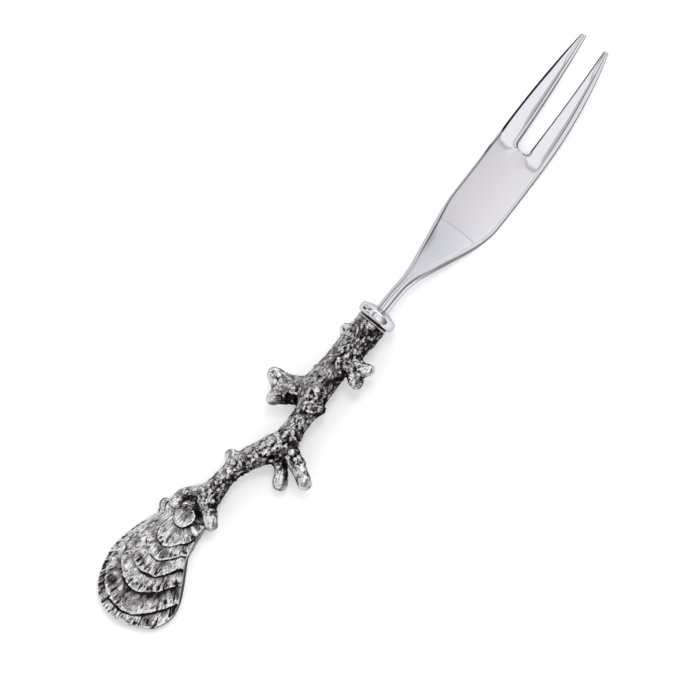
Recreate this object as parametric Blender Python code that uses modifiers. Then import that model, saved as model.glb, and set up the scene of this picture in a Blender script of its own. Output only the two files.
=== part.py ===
"""Appetizer fork: a two-tined steel head in a cast pewter handle.

The handle is a coral branch whose lower end holds an oyster shell. The fork lies face up on the
plane z = 0 and rests on the flat back of the shell and on the belly of the blade. +Y runs along
the fork to the tines, +X is to the right when the tines point away, and the origin lies on the
flat back of the shell, below the axis of the head. All lengths are in metres.
"""

import math

import bmesh
import bpy
from mathutils import Matrix, Vector

# Fits between the pieces
BOND_GAP = 0.0001
SEAT_GAP = 0.0003

# Steel head: blade, tines, neck and tang in one forging
HEAD_LENGTH = 0.0752
BLADE_WIDTH = 0.0136
BLADE_THICKNESS = 0.0017
BELLY_DROP = 0.0066
BELLY_DISTANCE = 0.0295
NECK_RADIUS = 0.00143
NECK_LENGTH = 0.0022
WAIST_DISTANCE = 0.0062
FLARE_LENGTH = 0.0240
TAPER_LENGTH = 0.0302
TINE_LENGTH = 0.0288
TINE_TIP_WIDTH = 0.00115
TINE_TIP_THICKNESS = 0.0009
SLOT_ROOT_WIDTH = 0.0040
SLOT_MOUTH_WIDTH = 0.0056
SLOT_CORNER_RADIUS = 0.0009
TANG_RADIUS = 0.0012
TANG_LENGTH = 0.016
TANG_END_CHAMFER = 0.0004

# Polished collar: a bead with a sloping shoulder, above a thin lip
BEAD_RADIUS = 0.0046
BEAD_LENGTH = 0.0031
BEAD_SHOULDER = 0.0006
GROOVE_RADIUS = 0.0035
GROOVE_LENGTH = 0.0003
LIP_RADIUS = 0.0038
LIP_LENGTH = 0.0004
LIP_ROUNDING = 0.0001

# Cement that fills the socket around the tang, and solder around the shell's peg
CEMENT_WALL = 0.0005
CEMENT_FLOOR = 0.0008
SOLDER_WALL = 0.00035
SOLDER_FLOOR = 0.0004

# Oyster shell
SHELL_WIDTH = 0.0213
SHELL_LENGTH = 0.0318
SHELL_HEIGHT = 0.0058
RIM_THICKNESS = 0.0010
RIM_REACH = 0.0131
RIM_UNDERCUT = 0.0005
PLATE_STEP = 0.00042
PLATE_EDGE_RUN = 0.00022
PEG_RADIUS = 0.0009
PEG_ROOT = 0.0048
PEG_LENGTH = 0.0045

# Coral branch
STEM_LENGTH = 0.0525
STEM_RADIUS = 0.0036
STEM_STANDOFF = 0.0018
STEM_SINK = 0.0007
BEAK_OFFSET = 0.00125

# The stem's course: share of its length below the collar, then sideways shift and radius, both in
# stem radii
STEM_COURSE = (
    (0.0, 0.0, 1.0),
    (0.09, -0.03, 0.97),
    (0.24, -0.14, 0.92),
    (0.32, -0.14, 0.97),
    (0.385, -0.05, 0.97),
    (0.45, 0.22, 0.78),
    (0.53, 0.28, 0.67),
    (0.615, 0.25, 0.78),
    (0.67, -0.11, 0.81),
    (0.72, -0.53, 0.75),
    (0.76, -0.86, 0.70),
    (0.825, -1.20, 0.67),
    (0.89, -1.39, 0.61),
    (0.95, -1.46, 0.72),
    (1.0, -1.51, 0.81),
)

# Side branches: the share of the stem where each starts, then its points from the stem's centre
# there, as right, forward, up and radius in stem radii
BRANCHES = {
    "right_stub": (0.165, ((0.0, 0.0, 0.08, 0.67), (1.36, -0.2, 0.28, 0.5), (2.14, 0.1, 0.4, 0.27))),
    "right_stub_tip": (0.165, ((1.1, -0.2, 0.2, 0.42), (1.94, -0.8, -0.05, 0.27))),
    "left_fork": (0.37, ((-0.28, 0.0, 0.0, 0.72), (-1.64, -0.64, 0.08, 0.64), (-2.82, -0.78, 0.3, 0.32))),
    "left_fork_tip": (0.37, ((-1.2, -0.7, 0.05, 0.58), (-1.75, -1.4, -0.2, 0.47), (-2.02, -2.0, -0.4, 0.37))),
    "right_finger": (0.61, ((0.14, 0.0, 0.0, 0.56), (1.64, -0.7, 0.17, 0.48), (2.92, -1.25, 0.25, 0.4))),
    "low_finger": (0.67, ((0.28, 0.0, -0.08, 0.44), (1.2, -0.67, -0.44, 0.38), (1.57, -1.33, -0.67, 0.48))),
    "left_claw": (1.0, ((-0.28, 0.08, 0.11, 0.5), (-1.11, -0.61, 0.22, 0.42), (-1.36, -1.5, 0.14, 0.39))),
    "right_claw": (1.0, ((0.28, 0.0, 0.08, 0.5), (1.04, -0.61, 0.14, 0.44), (1.31, -0.97, 0.03, 0.44))),
}

# Round knobs on the stem: share along it, then right, up and radius in stem radii
KNOBS = {
    "upper_left_knob": (0.085, -0.92, 0.12, 0.43),
    "small_left_knob": (0.29, -0.92, -0.17, 0.31),
    "middle_right_knob": (0.415, 0.83, 0.08, 0.33),
    "lower_left_knob": (0.80, -0.83, 0.14, 0.42),
}

# The shell's outline: shares of its half width and of its length from the beak
SHELL_OUTLINE = (
    (0.0, 0.0), (0.29, 0.05), (0.35, 0.14), (0.4, 0.28), (0.45, 0.37), (0.58, 0.45), (0.71, 0.52),
    (0.84, 0.59), (0.95, 0.66), (1.0, 0.74), (0.95, 0.82), (0.81, 0.89), (0.57, 0.94), (0.28, 0.98),
    (-0.05, 1.0), (-0.38, 0.98), (-0.63, 0.93), (-0.81, 0.86), (-0.94, 0.76), (-1.0, 0.66),
    (-1.0, 0.55), (-0.94, 0.45), (-0.83, 0.345), (-0.72, 0.25), (-0.74, 0.21), (-0.86, 0.15),
    (-0.62, 0.1), (-0.36, 0.035),
)
UMBO_ACROSS = -0.07
UMBO_ALONG = 0.138
# Where each growth plate's edge lies between the umbo and the rim
PLATE_EDGES = (0.14, 0.29, 0.42, 0.56, 0.71, 0.90)

# Curvature of the tine taper and of the shell's dome
TAPER_POWER = 2.2
DOME_POWER = 1.7

# Mesh fineness
EDGE_ARC_STEPS = 6
HEAD_STATIONS = 30
TURNING_STEPS = 32
PATH_STEPS = 3
STEM_SIDES = 14
BRANCH_SIDES = 10
KNOB_SIDES = 12
KNOB_RINGS = 8
TIP_DOME_TURNS = (math.radians(35), math.radians(62), math.radians(82))
SOFT_EDGE = math.radians(40)
SECTION_FLAT = 0.00001
WELD_DISTANCE = 0.000001
CUT_MARGIN = 0.001

# Places worked out from the sizes above
BEAK_Y = SHELL_LENGTH - RIM_REACH
STEM_END_Y = BEAK_Y + STEM_STANDOFF
STEM_END_HEIGHT = SHELL_HEIGHT - STEM_SINK
SEAT_Y = STEM_END_Y + STEM_LENGTH
COLLAR_LENGTH = BEAD_LENGTH + GROOVE_LENGTH + LIP_LENGTH
FRONT_Y = SEAT_Y + BOND_GAP + COLLAR_LENGTH
TIP_Y = FRONT_Y + HEAD_LENGTH
AXIS_HEIGHT = BELLY_DROP + BLADE_THICKNESS / 2
SHELL_X = STEM_COURSE[-1][1] * STEM_RADIUS - BEAK_OFFSET
TIP_SPREAD = SLOT_MOUTH_WIDTH + 2 * TINE_TIP_WIDTH
COLLAR_HOLE_RADIUS = NECK_RADIUS + BOND_GAP
SOCKET_RADIUS = TANG_RADIUS + CEMENT_WALL + 2 * BOND_GAP
SOCKET_DEPTH = TANG_LENGTH + CEMENT_FLOOR + 2 * BOND_GAP
PEG_BORE_RADIUS = PEG_RADIUS + SOLDER_WALL + 2 * BOND_GAP
PEG_BORE_DEPTH = PEG_LENGTH + SOLDER_FLOOR + 2 * BOND_GAP
TOWARDS_TINES = Vector((0, 1, 0))


def clear_scene():
    """Removes every object that the scene starts with."""
    for obj in list(bpy.data.objects):
        bpy.data.objects.remove(obj, do_unlink=True)


def new_collection(name):
    collection = bpy.data.collections.new(name)
    bpy.context.scene.collection.children.link(collection)
    return collection


def finish(name, colour, roughness, metallic=1.0):
    """A Principled material of one colour."""
    material = bpy.data.materials.new(name)
    material.use_nodes = True
    shader = material.node_tree.nodes["Principled BSDF"]
    shader.inputs["Base Color"].default_value = (*colour, 1.0)
    shader.inputs["Roughness"].default_value = roughness
    shader.inputs["Metallic"].default_value = metallic
    return material


def add_mesh_object(name, collection, edit, matrix=None):
    """An object whose mesh the function edit fills through bmesh."""
    mesh = bpy.data.meshes.new(name)
    bm = bmesh.new()
    edit(bm)
    bmesh.ops.recalc_face_normals(bm, faces=bm.faces)
    bm.to_mesh(mesh)
    bm.free()
    obj = bpy.data.objects.new(name, mesh)
    if matrix is not None:
        obj.matrix_world = matrix
    collection.objects.link(obj)
    return obj


def make_helper(obj):
    """Marks a cutter, or a shape that is only joined to another piece."""
    obj.hide_render = True
    obj.display_type = "WIRE"


def boolean(obj, other, operation):
    modifier = obj.modifiers.new(f"{operation.lower()}_{other.name}", "BOOLEAN")
    modifier.operation = operation
    modifier.object = other


def smooth(obj):
    obj.data.shade_smooth()
    obj.data.set_sharp_from_angle(angle=SOFT_EDGE)


def smoothstep(share):
    share = min(max(share, 0.0), 1.0)
    return share * share * (3 - 2 * share)


def catmull_rom(a, b, c, d, t):
    """The point at t between b and c of the curve that runs through a, b, c and d."""
    slope = (c - a) * t
    bend = (2 * a - 5 * b + 4 * c - d) * t**2
    twist = (3 * b - a - 3 * c + d) * t**3
    return 0.5 * (2 * b + slope + bend + twist)


def smooth_path(points):
    """Points on a smooth curve through an open row of vectors."""
    ends = [2 * points[0] - points[1], *points, 2 * points[-1] - points[-2]]
    path = [
        catmull_rom(*ends[i : i + 4], step / PATH_STEPS)
        for i in range(len(points) - 1)
        for step in range(PATH_STEPS)
    ]
    return [*path, points[-1]]


def loft(bm, rings):
    """Skin over rings of equal count, with a flat cap on the first and the last."""
    rows = [[bm.verts.new(point) for point in ring] for ring in rings]
    for low, high in zip(rows, rows[1:]):
        for i in range(len(low)):
            j = (i + 1) % len(low)
            bm.faces.new((low[i], low[j], high[j], high[i]))
    bm.faces.new(rows[0])
    bm.faces.new(rows[-1])


def along(direction, start):
    """A matrix that stands +Z along direction, with its origin at start."""
    return Matrix.Translation(start) @ direction.to_track_quat("Z", "Y").to_matrix().to_4x4()


def turned(name, collection, profile, matrix):
    """A solid of revolution about the local Z axis.

    The profile is a row of radius and height. It is closed to a ring, unless it starts and ends on
    the axis.
    """
    mesh = bpy.data.meshes.new(name)
    count = len(profile)
    edges = [(i, i + 1) for i in range(count - 1)]
    if profile[0][0] > 0.0:
        edges.append((count - 1, 0))
    mesh.from_pydata([(radius, 0.0, height) for radius, height in profile], edges, [])
    obj = bpy.data.objects.new(name, mesh)
    obj.matrix_world = matrix
    collection.objects.link(obj)
    screw = obj.modifiers.new("turning", "SCREW")
    screw.axis = "Z"
    screw.steps = TURNING_STEPS
    screw.render_steps = TURNING_STEPS
    screw.use_merge_vertices = True
    screw.merge_threshold = WELD_DISTANCE
    screw.use_smooth_shade = True
    return obj


def cup(name, collection, inner_radius, outer_radius, depth, floor, matrix):
    """A sleeve with a closed far end, open at the local origin and running up +Z."""
    profile = (
        (0.0, depth + floor),
        (outer_radius, depth + floor),
        (outer_radius, 0.0),
        (inner_radius, 0.0),
        (inner_radius, depth),
        (0.0, depth),
    )
    return turned(name, collection, profile, matrix)


def rod(name, collection, radius, length, matrix):
    """A plain cylinder that starts at the local origin and runs up +Z."""

    def edit(bm):
        bmesh.ops.create_cone(
            bm,
            cap_ends=True,
            segments=TURNING_STEPS,
            radius1=radius,
            radius2=radius,
            depth=length,
            matrix=Matrix.Translation((0, 0, length / 2)),
        )

    return add_mesh_object(name, collection, edit, matrix)


def curve_to_mesh(name, collection, drawn):
    """A closed mesh object in place of a curve object, with its caps welded."""
    bpy.context.scene.collection.objects.link(drawn)
    bpy.context.view_layer.update()
    graph = bpy.context.evaluated_depsgraph_get()
    mesh = bpy.data.meshes.new_from_object(drawn.evaluated_get(graph))
    mesh.name = name
    bm = bmesh.new()
    bm.from_mesh(mesh)
    bmesh.ops.remove_doubles(bm, verts=bm.verts, dist=WELD_DISTANCE)
    bmesh.ops.recalc_face_normals(bm, faces=bm.faces)
    bm.to_mesh(mesh)
    bm.free()
    obj = bpy.data.objects.new(name, mesh)
    obj.matrix_world = drawn.matrix_world
    collection.objects.link(obj)
    bpy.data.objects.remove(drawn, do_unlink=True)
    return obj


def extruded(name, collection, outline, low, high):
    """A flat outline given thickness between two heights, made from a filled curve."""
    curve = bpy.data.curves.new(name, "CURVE")
    curve.dimensions = "2D"
    curve.fill_mode = "BOTH"
    curve.extrude = (high - low) / 2
    spline = curve.splines.new("POLY")
    spline.points.add(len(outline) - 1)
    for point, (x, y) in zip(spline.points, outline):
        point.co = (x, y, 0.0, 1.0)
    spline.use_cyclic_u = True
    drawn = bpy.data.objects.new(f"{name}_curve", curve)
    drawn.location = (0, 0, (low + high) / 2)
    return curve_to_mesh(name, collection, drawn)


def tube(name, collection, path, sides):
    """A tube through centre points with their own radii; path holds vectors of x, y, z, radius."""
    curve = bpy.data.curves.new(name, "CURVE")
    curve.dimensions = "3D"
    curve.bevel_depth = 1.0
    curve.bevel_resolution = sides // 2 - 2
    curve.use_fill_caps = True
    spline = curve.splines.new("POLY")
    spline.points.add(len(path) - 1)
    for point, stop in zip(spline.points, path):
        point.co = (stop.x, stop.y, stop.z, 1.0)
        point.radius = stop.w
    return curve_to_mesh(name, collection, bpy.data.objects.new(f"{name}_curve", curve))


def rounded_tip(path):
    """The path with a dome of shrinking rings added past its last point."""
    tip, before = path[-1], path[-2]
    heading = (tip.xyz - before.xyz).normalized()
    dome = []
    for turn in TIP_DOME_TURNS:
        spot = tip.xyz + heading * tip.w * math.sin(turn)
        dome.append(Vector((*spot, tip.w * math.cos(turn))))
    return [*path, *dome]


def blade_drop(distance):
    """How far the head's middle lies below the neck axis: an S-curve, then a parabola to the tips."""
    if distance <= BELLY_DISTANCE:
        return BELLY_DROP * smoothstep((distance - NECK_LENGTH) / (BELLY_DISTANCE - NECK_LENGTH))
    rise = (distance - BELLY_DISTANCE) / (HEAD_LENGTH - BELLY_DISTANCE)
    return BELLY_DROP * (1 - rise**2)


def blade_half_width(distance):
    """Half the head's width: round neck, flare, full blade, then a taper to the tips."""
    flare = smoothstep((distance - WAIST_DISTANCE) / FLARE_LENGTH)
    width = NECK_RADIUS + (BLADE_WIDTH / 2 - NECK_RADIUS) * flare
    taper = max(0.0, 1 - (HEAD_LENGTH - distance) / TAPER_LENGTH)
    return width - (BLADE_WIDTH - TIP_SPREAD) / 2 * taper**TAPER_POWER


def blade_half_thickness(distance):
    """Half the head's thickness: it thins along the flare, and again along the tines."""
    flare = smoothstep((distance - WAIST_DISTANCE) / FLARE_LENGTH)
    thickness = NECK_RADIUS + (BLADE_THICKNESS / 2 - NECK_RADIUS) * flare
    taper = max(0.0, 1 - (HEAD_LENGTH - distance) / TINE_LENGTH)
    return thickness - (BLADE_THICKNESS - TINE_TIP_THICKNESS) / 2 * taper


def stadium(half_width, half_thickness, centre, lean):
    """A flat bar's section with round edges, leaned about X to stand across the bar's course."""
    half_flat = max(half_width - half_thickness, SECTION_FLAT)
    ring = []
    for side in (1, -1):
        for step in range(EDGE_ARC_STEPS + 1):
            turn = math.pi * step / EDGE_ARC_STEPS - math.pi / 2
            x = side * (half_flat + half_thickness * math.cos(turn))
            lift = side * half_thickness * math.sin(turn)
            ring.append(centre + Vector((x, -lift * math.sin(lean), lift * math.cos(lean))))
    return ring


def head_rings():
    """Sections of the head from the tang's end to the tine tips."""
    tang_end = SEAT_Y - TANG_LENGTH
    straight = (
        (tang_end, TANG_RADIUS - TANG_END_CHAMFER),
        (tang_end + TANG_END_CHAMFER, TANG_RADIUS),
        (SEAT_Y, TANG_RADIUS),
        (SEAT_Y, NECK_RADIUS),
    )
    rings = [stadium(radius, radius, Vector((0, y, AXIS_HEIGHT)), 0.0) for y, radius in straight]
    stride = HEAD_LENGTH / HEAD_STATIONS
    for i in range(HEAD_STATIONS + 1):
        distance = stride * i
        before = max(distance - stride / 2, 0.0)
        after = min(distance + stride / 2, HEAD_LENGTH)
        lean = -math.atan((blade_drop(after) - blade_drop(before)) / (after - before))
        centre = Vector((0, FRONT_Y + distance, AXIS_HEIGHT - blade_drop(distance)))
        rings.append(stadium(blade_half_width(distance), blade_half_thickness(distance), centre, lean))
    return rings


def slot_outline():
    """The gap between the tines as seen from above, with rounded root corners, past the tips."""
    root_y = TIP_Y - TINE_LENGTH
    reach = TINE_LENGTH + 2 * CUT_MARGIN
    end_width = SLOT_ROOT_WIDTH + (SLOT_MOUTH_WIDTH - SLOT_ROOT_WIDTH) * reach / TINE_LENGTH
    right_half = []
    for step in range(EDGE_ARC_STEPS + 1):
        turn = math.pi / 2 * step / EDGE_ARC_STEPS
        x = SLOT_ROOT_WIDTH / 2 - SLOT_CORNER_RADIUS * (1 - math.sin(turn))
        y = root_y + SLOT_CORNER_RADIUS * (1 - math.cos(turn))
        right_half.append((x, y))
    right_half.append((end_width / 2, root_y + reach))
    left_half = [(-x, y) for x, y in reversed(right_half)]
    return [*right_half, *left_half]


def stem_point(share, shift):
    """A point of the stem's centre line: it sinks from the collar's axis to the shell's beak."""
    height = AXIS_HEIGHT - (AXIS_HEIGHT - STEM_END_HEIGHT) * share**2
    return Vector((shift * STEM_RADIUS, SEAT_Y - STEM_LENGTH * share, height))


def stem_path():
    stops = [Vector((*stem_point(share, shift), size * STEM_RADIUS)) for share, shift, size in STEM_COURSE]
    return smooth_path(stops)


def stem_centre(share):
    """The stem's centre at a share of its length, between the stops of its course."""
    for (low, shift_low, _), (high, shift_high, _) in zip(STEM_COURSE, STEM_COURSE[1:]):
        if low <= share <= high:
            blend = (share - low) / (high - low)
            return stem_point(share, shift_low + (shift_high - shift_low) * blend)


def stem_end():
    """The centre of the stem's lower end and the direction from there up the stem."""
    end = stem_point(*STEM_COURSE[-1][:2])
    before = stem_point(*STEM_COURSE[-2][:2])
    return end, (before - end).normalized()


def shell_spot(across, share_along):
    """A point of the plane from shares of the shell's half width and length."""
    return Vector((SHELL_X + across * SHELL_WIDTH / 2, BEAK_Y - share_along * SHELL_LENGTH))


def shell_outline_points():
    """The shell's outline in the plane, as a smooth closed curve."""
    stops = [shell_spot(*stop) for stop in SHELL_OUTLINE]
    count = len(stops)
    points = []
    for i in range(count):
        points.append(stops[i])
        points.append(catmull_rom(*(stops[(i + k - 1) % count] for k in range(4)), 0.5))
    return points


def shell_top(share):
    """Height of the shell's dome between the umbo and the rim, before its plates."""
    return RIM_THICKNESS + (SHELL_HEIGHT - RIM_THICKNESS) * (1 - share**DOME_POWER)


def shell_rings(grow, bottom):
    """Rings from the flat back up over the rim and the growth plates to the umbo.

    The whole shape is larger by grow, which is how the coral's seat is made.
    """
    outline = shell_outline_points()
    umbo = shell_spot(UMBO_ACROSS, UMBO_ALONG)

    def ring(share, height, inset=0.0):
        points = []
        for spot in outline:
            out = spot - umbo
            reach = out.length * share + grow - inset
            points.append((*(umbo + out.normalized() * reach), height))
        return points

    rings = [ring(1.0, bottom, RIM_UNDERCUT), ring(1.0, RIM_THICKNESS / 2), ring(1.0, RIM_THICKNESS + grow)]
    for edge in reversed(PLATE_EDGES):
        middle = shell_top(edge) + grow
        rings.append(ring(edge + PLATE_EDGE_RUN / SHELL_LENGTH, middle - PLATE_STEP / 2))
        rings.append(ring(edge, middle + PLATE_STEP / 2))
    rings.append(ring(PLATE_EDGES[0] / 2, SHELL_HEIGHT + PLATE_STEP / 2 + grow))
    return rings


def build_head(parts, helpers):
    head = add_mesh_object("fork_head", parts, lambda bm: loft(bm, head_rings()))
    slot = extruded("tine_slot", helpers, slot_outline(), -CUT_MARGIN, AXIS_HEIGHT + BLADE_WIDTH)
    make_helper(slot)
    boolean(head, slot, "DIFFERENCE")
    smooth(head)
    return head


def build_collar(parts):
    """A bead, a groove and a lip turned about the neck, bored for it."""
    bead_middle = LIP_LENGTH + GROOVE_LENGTH + BEAD_LENGTH / 2
    swell = BEAD_RADIUS - GROOVE_RADIUS
    bead = []
    for step in range(EDGE_ARC_STEPS * 2 + 1):
        turn = math.pi / 2 - math.pi * step / (EDGE_ARC_STEPS * 2)
        shoulder = BEAD_SHOULDER if turn > 0 else 0.0
        height = bead_middle + (BEAD_LENGTH / 2 - shoulder) * math.sin(turn)
        bead.append((GROOVE_RADIUS + swell * math.cos(turn), height))
    lip = [
        (GROOVE_RADIUS, LIP_LENGTH),
        (LIP_RADIUS, LIP_LENGTH - LIP_ROUNDING),
        (LIP_RADIUS, LIP_ROUNDING),
        (GROOVE_RADIUS, 0.0),
    ]
    profile = [(COLLAR_HOLE_RADIUS, COLLAR_LENGTH), *bead, *lip, (COLLAR_HOLE_RADIUS, 0.0)]
    seat = Vector((0, SEAT_Y + BOND_GAP, AXIS_HEIGHT))
    return turned("collar_ring", parts, profile, along(TOWARDS_TINES, seat))


def build_cement(parts):
    inner = TANG_RADIUS + BOND_GAP
    depth = TANG_LENGTH
    place = along(-TOWARDS_TINES, Vector((0, SEAT_Y - BOND_GAP, AXIS_HEIGHT)))
    return cup("tang_cement", parts, inner, inner + CEMENT_WALL, depth, CEMENT_FLOOR, place)


def build_shell(parts, helpers):
    shell = add_mesh_object("oyster_shell", parts, lambda bm: loft(bm, shell_rings(0.0, 0.0)))
    end, heading = stem_end()
    peg_start = along(heading, end - heading * PEG_ROOT)
    peg = rod("shell_peg", helpers, PEG_RADIUS, PEG_ROOT + PEG_LENGTH, peg_start)
    make_helper(peg)
    boolean(shell, peg, "UNION")
    smooth(shell)
    return shell


def build_solder(parts):
    inner = PEG_RADIUS + BOND_GAP
    depth = PEG_LENGTH + BOND_GAP
    end, heading = stem_end()
    return cup("peg_solder", parts, inner, inner + SOLDER_WALL, depth, SOLDER_FLOOR, along(heading, end))


def coral_shapes(helpers):
    """The side branches and knobs that are one casting with the stem."""
    shapes = []
    for name, (share, stops) in BRANCHES.items():
        start = Vector((*stem_centre(share), 0.0))
        path = smooth_path([start + Vector(stop) * STEM_RADIUS for stop in stops])
        shapes.append(tube(name, helpers, rounded_tip(path), BRANCH_SIDES))
    for name, (share, right, up, size) in KNOBS.items():

        def edit(bm, radius=size * STEM_RADIUS):
            bmesh.ops.create_uvsphere(bm, u_segments=KNOB_SIDES, v_segments=KNOB_RINGS, radius=radius)

        spot = stem_centre(share) + Vector((right, 0, up)) * STEM_RADIUS
        shapes.append(add_mesh_object(name, helpers, edit, Matrix.Translation(spot)))
    return shapes


def build_coral(parts, helpers):
    coral = tube("coral_handle", parts, rounded_tip(stem_path()), STEM_SIDES)
    for shape in coral_shapes(helpers):
        make_helper(shape)
        boolean(coral, shape, "UNION")
    mouth = along(-TOWARDS_TINES, Vector((0, SEAT_Y + CUT_MARGIN, AXIS_HEIGHT)))
    end, heading = stem_end()
    peg_start = along(heading, end - heading * PEG_ROOT)
    cutters = (
        rod("tang_socket", helpers, SOCKET_RADIUS, SOCKET_DEPTH + CUT_MARGIN, mouth),
        rod("peg_bore", helpers, PEG_BORE_RADIUS, PEG_ROOT + PEG_BORE_DEPTH, peg_start),
        add_mesh_object("shell_seat", helpers, lambda bm: loft(bm, shell_rings(SEAT_GAP, -CUT_MARGIN))),
    )
    for cutter in cutters:
        make_helper(cutter)
        boolean(coral, cutter, "DIFFERENCE")
    smooth(coral)
    return coral


def main():
    clear_scene()
    parts = new_collection("appetizer_fork")
    helpers = new_collection("cutters")
    polished_steel = finish("polished_steel", (0.78, 0.78, 0.80), 0.08)
    polished_pewter = finish("polished_pewter", (0.74, 0.73, 0.72), 0.16)
    antique_pewter = finish("antique_pewter", (0.42, 0.41, 0.39), 0.32)
    cement = finish("cement", (0.72, 0.66, 0.52), 0.7, metallic=0.0)
    solder = finish("solder", (0.60, 0.60, 0.60), 0.4)
    frame = bpy.data.objects.new("fork_frame", None)
    parts.objects.link(frame)
    pieces = (
        (build_head(parts, helpers), polished_steel),
        (build_collar(parts), polished_pewter),
        (build_cement(parts), cement),
        (build_coral(parts, helpers), antique_pewter),
        (build_solder(parts), solder),
        (build_shell(parts, helpers), antique_pewter),
    )
    for piece, material in pieces:
        piece.data.materials.append(material)
        piece.parent = frame


main()
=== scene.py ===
"""Looks of an appetizer fork: a polished steel head in a cast pewter handle.

The handle is a coral branch that holds an oyster shell. The fork lies face up on the plane z = 0,
+Y runs along it to the tines and +X is to the right. All lengths are in metres. Each visible piece is
a grid of points, a profile turned about an axis or the skin of a grid of distances, worked out with
numpy.
"""

import logging
import math
from dataclasses import dataclass, field
from enum import Enum, IntEnum
from typing import ClassVar

import bmesh
import bpy
import numpy as np
from mathutils import Matrix, Vector


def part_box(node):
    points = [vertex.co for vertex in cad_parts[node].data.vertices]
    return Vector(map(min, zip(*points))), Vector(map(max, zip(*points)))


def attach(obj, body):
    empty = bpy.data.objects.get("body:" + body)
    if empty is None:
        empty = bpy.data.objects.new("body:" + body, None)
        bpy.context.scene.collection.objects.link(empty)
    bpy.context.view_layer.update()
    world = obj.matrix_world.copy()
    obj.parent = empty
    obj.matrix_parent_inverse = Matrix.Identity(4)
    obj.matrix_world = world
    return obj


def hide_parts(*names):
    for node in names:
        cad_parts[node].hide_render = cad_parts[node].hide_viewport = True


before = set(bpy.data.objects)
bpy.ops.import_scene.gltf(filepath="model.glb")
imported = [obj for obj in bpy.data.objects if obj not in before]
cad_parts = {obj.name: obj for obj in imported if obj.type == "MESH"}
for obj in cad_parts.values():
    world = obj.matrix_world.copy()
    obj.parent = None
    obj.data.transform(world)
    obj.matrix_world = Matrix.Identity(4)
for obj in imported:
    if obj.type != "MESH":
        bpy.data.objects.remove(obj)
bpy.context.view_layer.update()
MM = 0.001
WELD_DISTANCE = 1e-7
TINY = 1e-12
# The mesh value that holds real patina together with painted shade.
PATINA_AND_PAINTED_SHADE = "patina_and_painted_shade"
AXIS_MIX = (374761393, 668265263, 1440662683)
SEED_MIX = 974634541
SCRAMBLE = ((13, 1274126177), (15, 1103515245), (16, 1))
CELL_MARGIN = 0.05
log = logging.getLogger("appetizer_fork")

Row = np.ndarray
Span = tuple[float, float]
Colour = tuple[float, float, float]


class Slot(Enum):
    """The record's material slots that the visible pieces use."""

    STEEL = "stainless_steel"
    BRIGHT_PEWTER = "polished_pewter"
    DARK_PEWTER = "antique_pewter"


class Seed(IntEnum):
    """The number that picks each random pattern."""

    COLLAR_WAVES = 5
    LIP_WAVER = 11
    LIP_RIPPLE = 12
    SHELL_BLOTCHES = 25
    STROKES = 31
    FINE_STROKES = 32
    NOTCHES = 33
    STROKE_DENSITY = 35
    LIP_SHADOWS = 37
    RIBS = 39
    FACETS = 41
    FLAKES = 45
    BEADS = 48
    GRIT = 51
    LUMPS = 61
    WARP_X = 71
    WARP_Y = 75
    WARP_Z = 79
    BROAD_PATCHES = 85
    QUIET_PATCHES = 87
    SHELL_EDGE = 91
    CHIPS = 91
    BOSS_EDGE = 93
    STREAKS = 95
    HOLLOWS = 97
    BROAD_FACETS = 141


def ease(share: Row | float) -> Row:
    """The smooth step from 0 to 1: three times the square less twice the cube."""
    share = np.clip(share, 0.0, 1.0)
    return share * share * (3 - 2 * share)


def between(value: Row | float, low: Row | float, high: Row | float) -> Row:
    """How far value has gone from low to high, as a smooth step."""
    return ease((np.asarray(value) - low) / (high - low))


def blended(first: Row | float, second: Row | float, share: Row) -> Row:
    """The straight mix of two values: the first where share is 0, the second where it is 1."""
    return first + (second - first) * share


def random_share(cell: Row, seed: int) -> Row:
    """Scattered numbers from 0 to 1, one for each whole-number place, the same at every run.

    The three coordinates are multiplied by large odd numbers, added and scrambled.

    Args:
        cell: Whole-number places, with three coordinates in the last axis.
        seed: A number that picks one of many scatterings.

    Returns:
        One number for each place.
    """
    cell = cell.astype(np.int64)
    mixed = sum(cell[..., axis] * factor for axis, factor in enumerate(AXIS_MIX)) + seed * SEED_MIX
    for shift, factor in SCRAMBLE:
        mixed = (mixed ^ (mixed >> shift)) * factor
    return (mixed & 0xFFFFFF) / float(0x1000000)


def soft_noise(points: Row, seed: int) -> Row:
    """Smooth noise from -1 to 1 with lumps one unit wide.

    The numbers at the eight corners of a point's unit cube are blended by smooth steps.

    Args:
        points: Places, with three coordinates in the last axis.
        seed: A number that picks the pattern.

    Returns:
        One value for each place.
    """
    corner = np.floor(points)
    weight = ease(points - corner)
    total = np.zeros(points.shape[:-1])
    for step in np.ndindex(2, 2, 2):
        step = np.array(step)
        share = np.prod(np.where(step == 1, weight, 1 - weight), axis=-1)
        total += share * random_share(corner + step, seed)
    return 2 * total - 1


def noise_on(seed: int, *axes: Row) -> Row:
    """Soft noise at places whose three coordinates are given one by one."""
    return soft_noise(np.stack(np.broadcast_arrays(*axes), -1), seed)


def layered_noise(points: Row, seed: int, layers: int = 3) -> Row:
    """Soft noise in layers, each half as wide and half as strong as the one before."""
    total = np.zeros(points.shape[:-1])
    for layer in range(layers):
        total += soft_noise(points * 2**layer, seed + layer) / 2**layer
    return total


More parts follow.
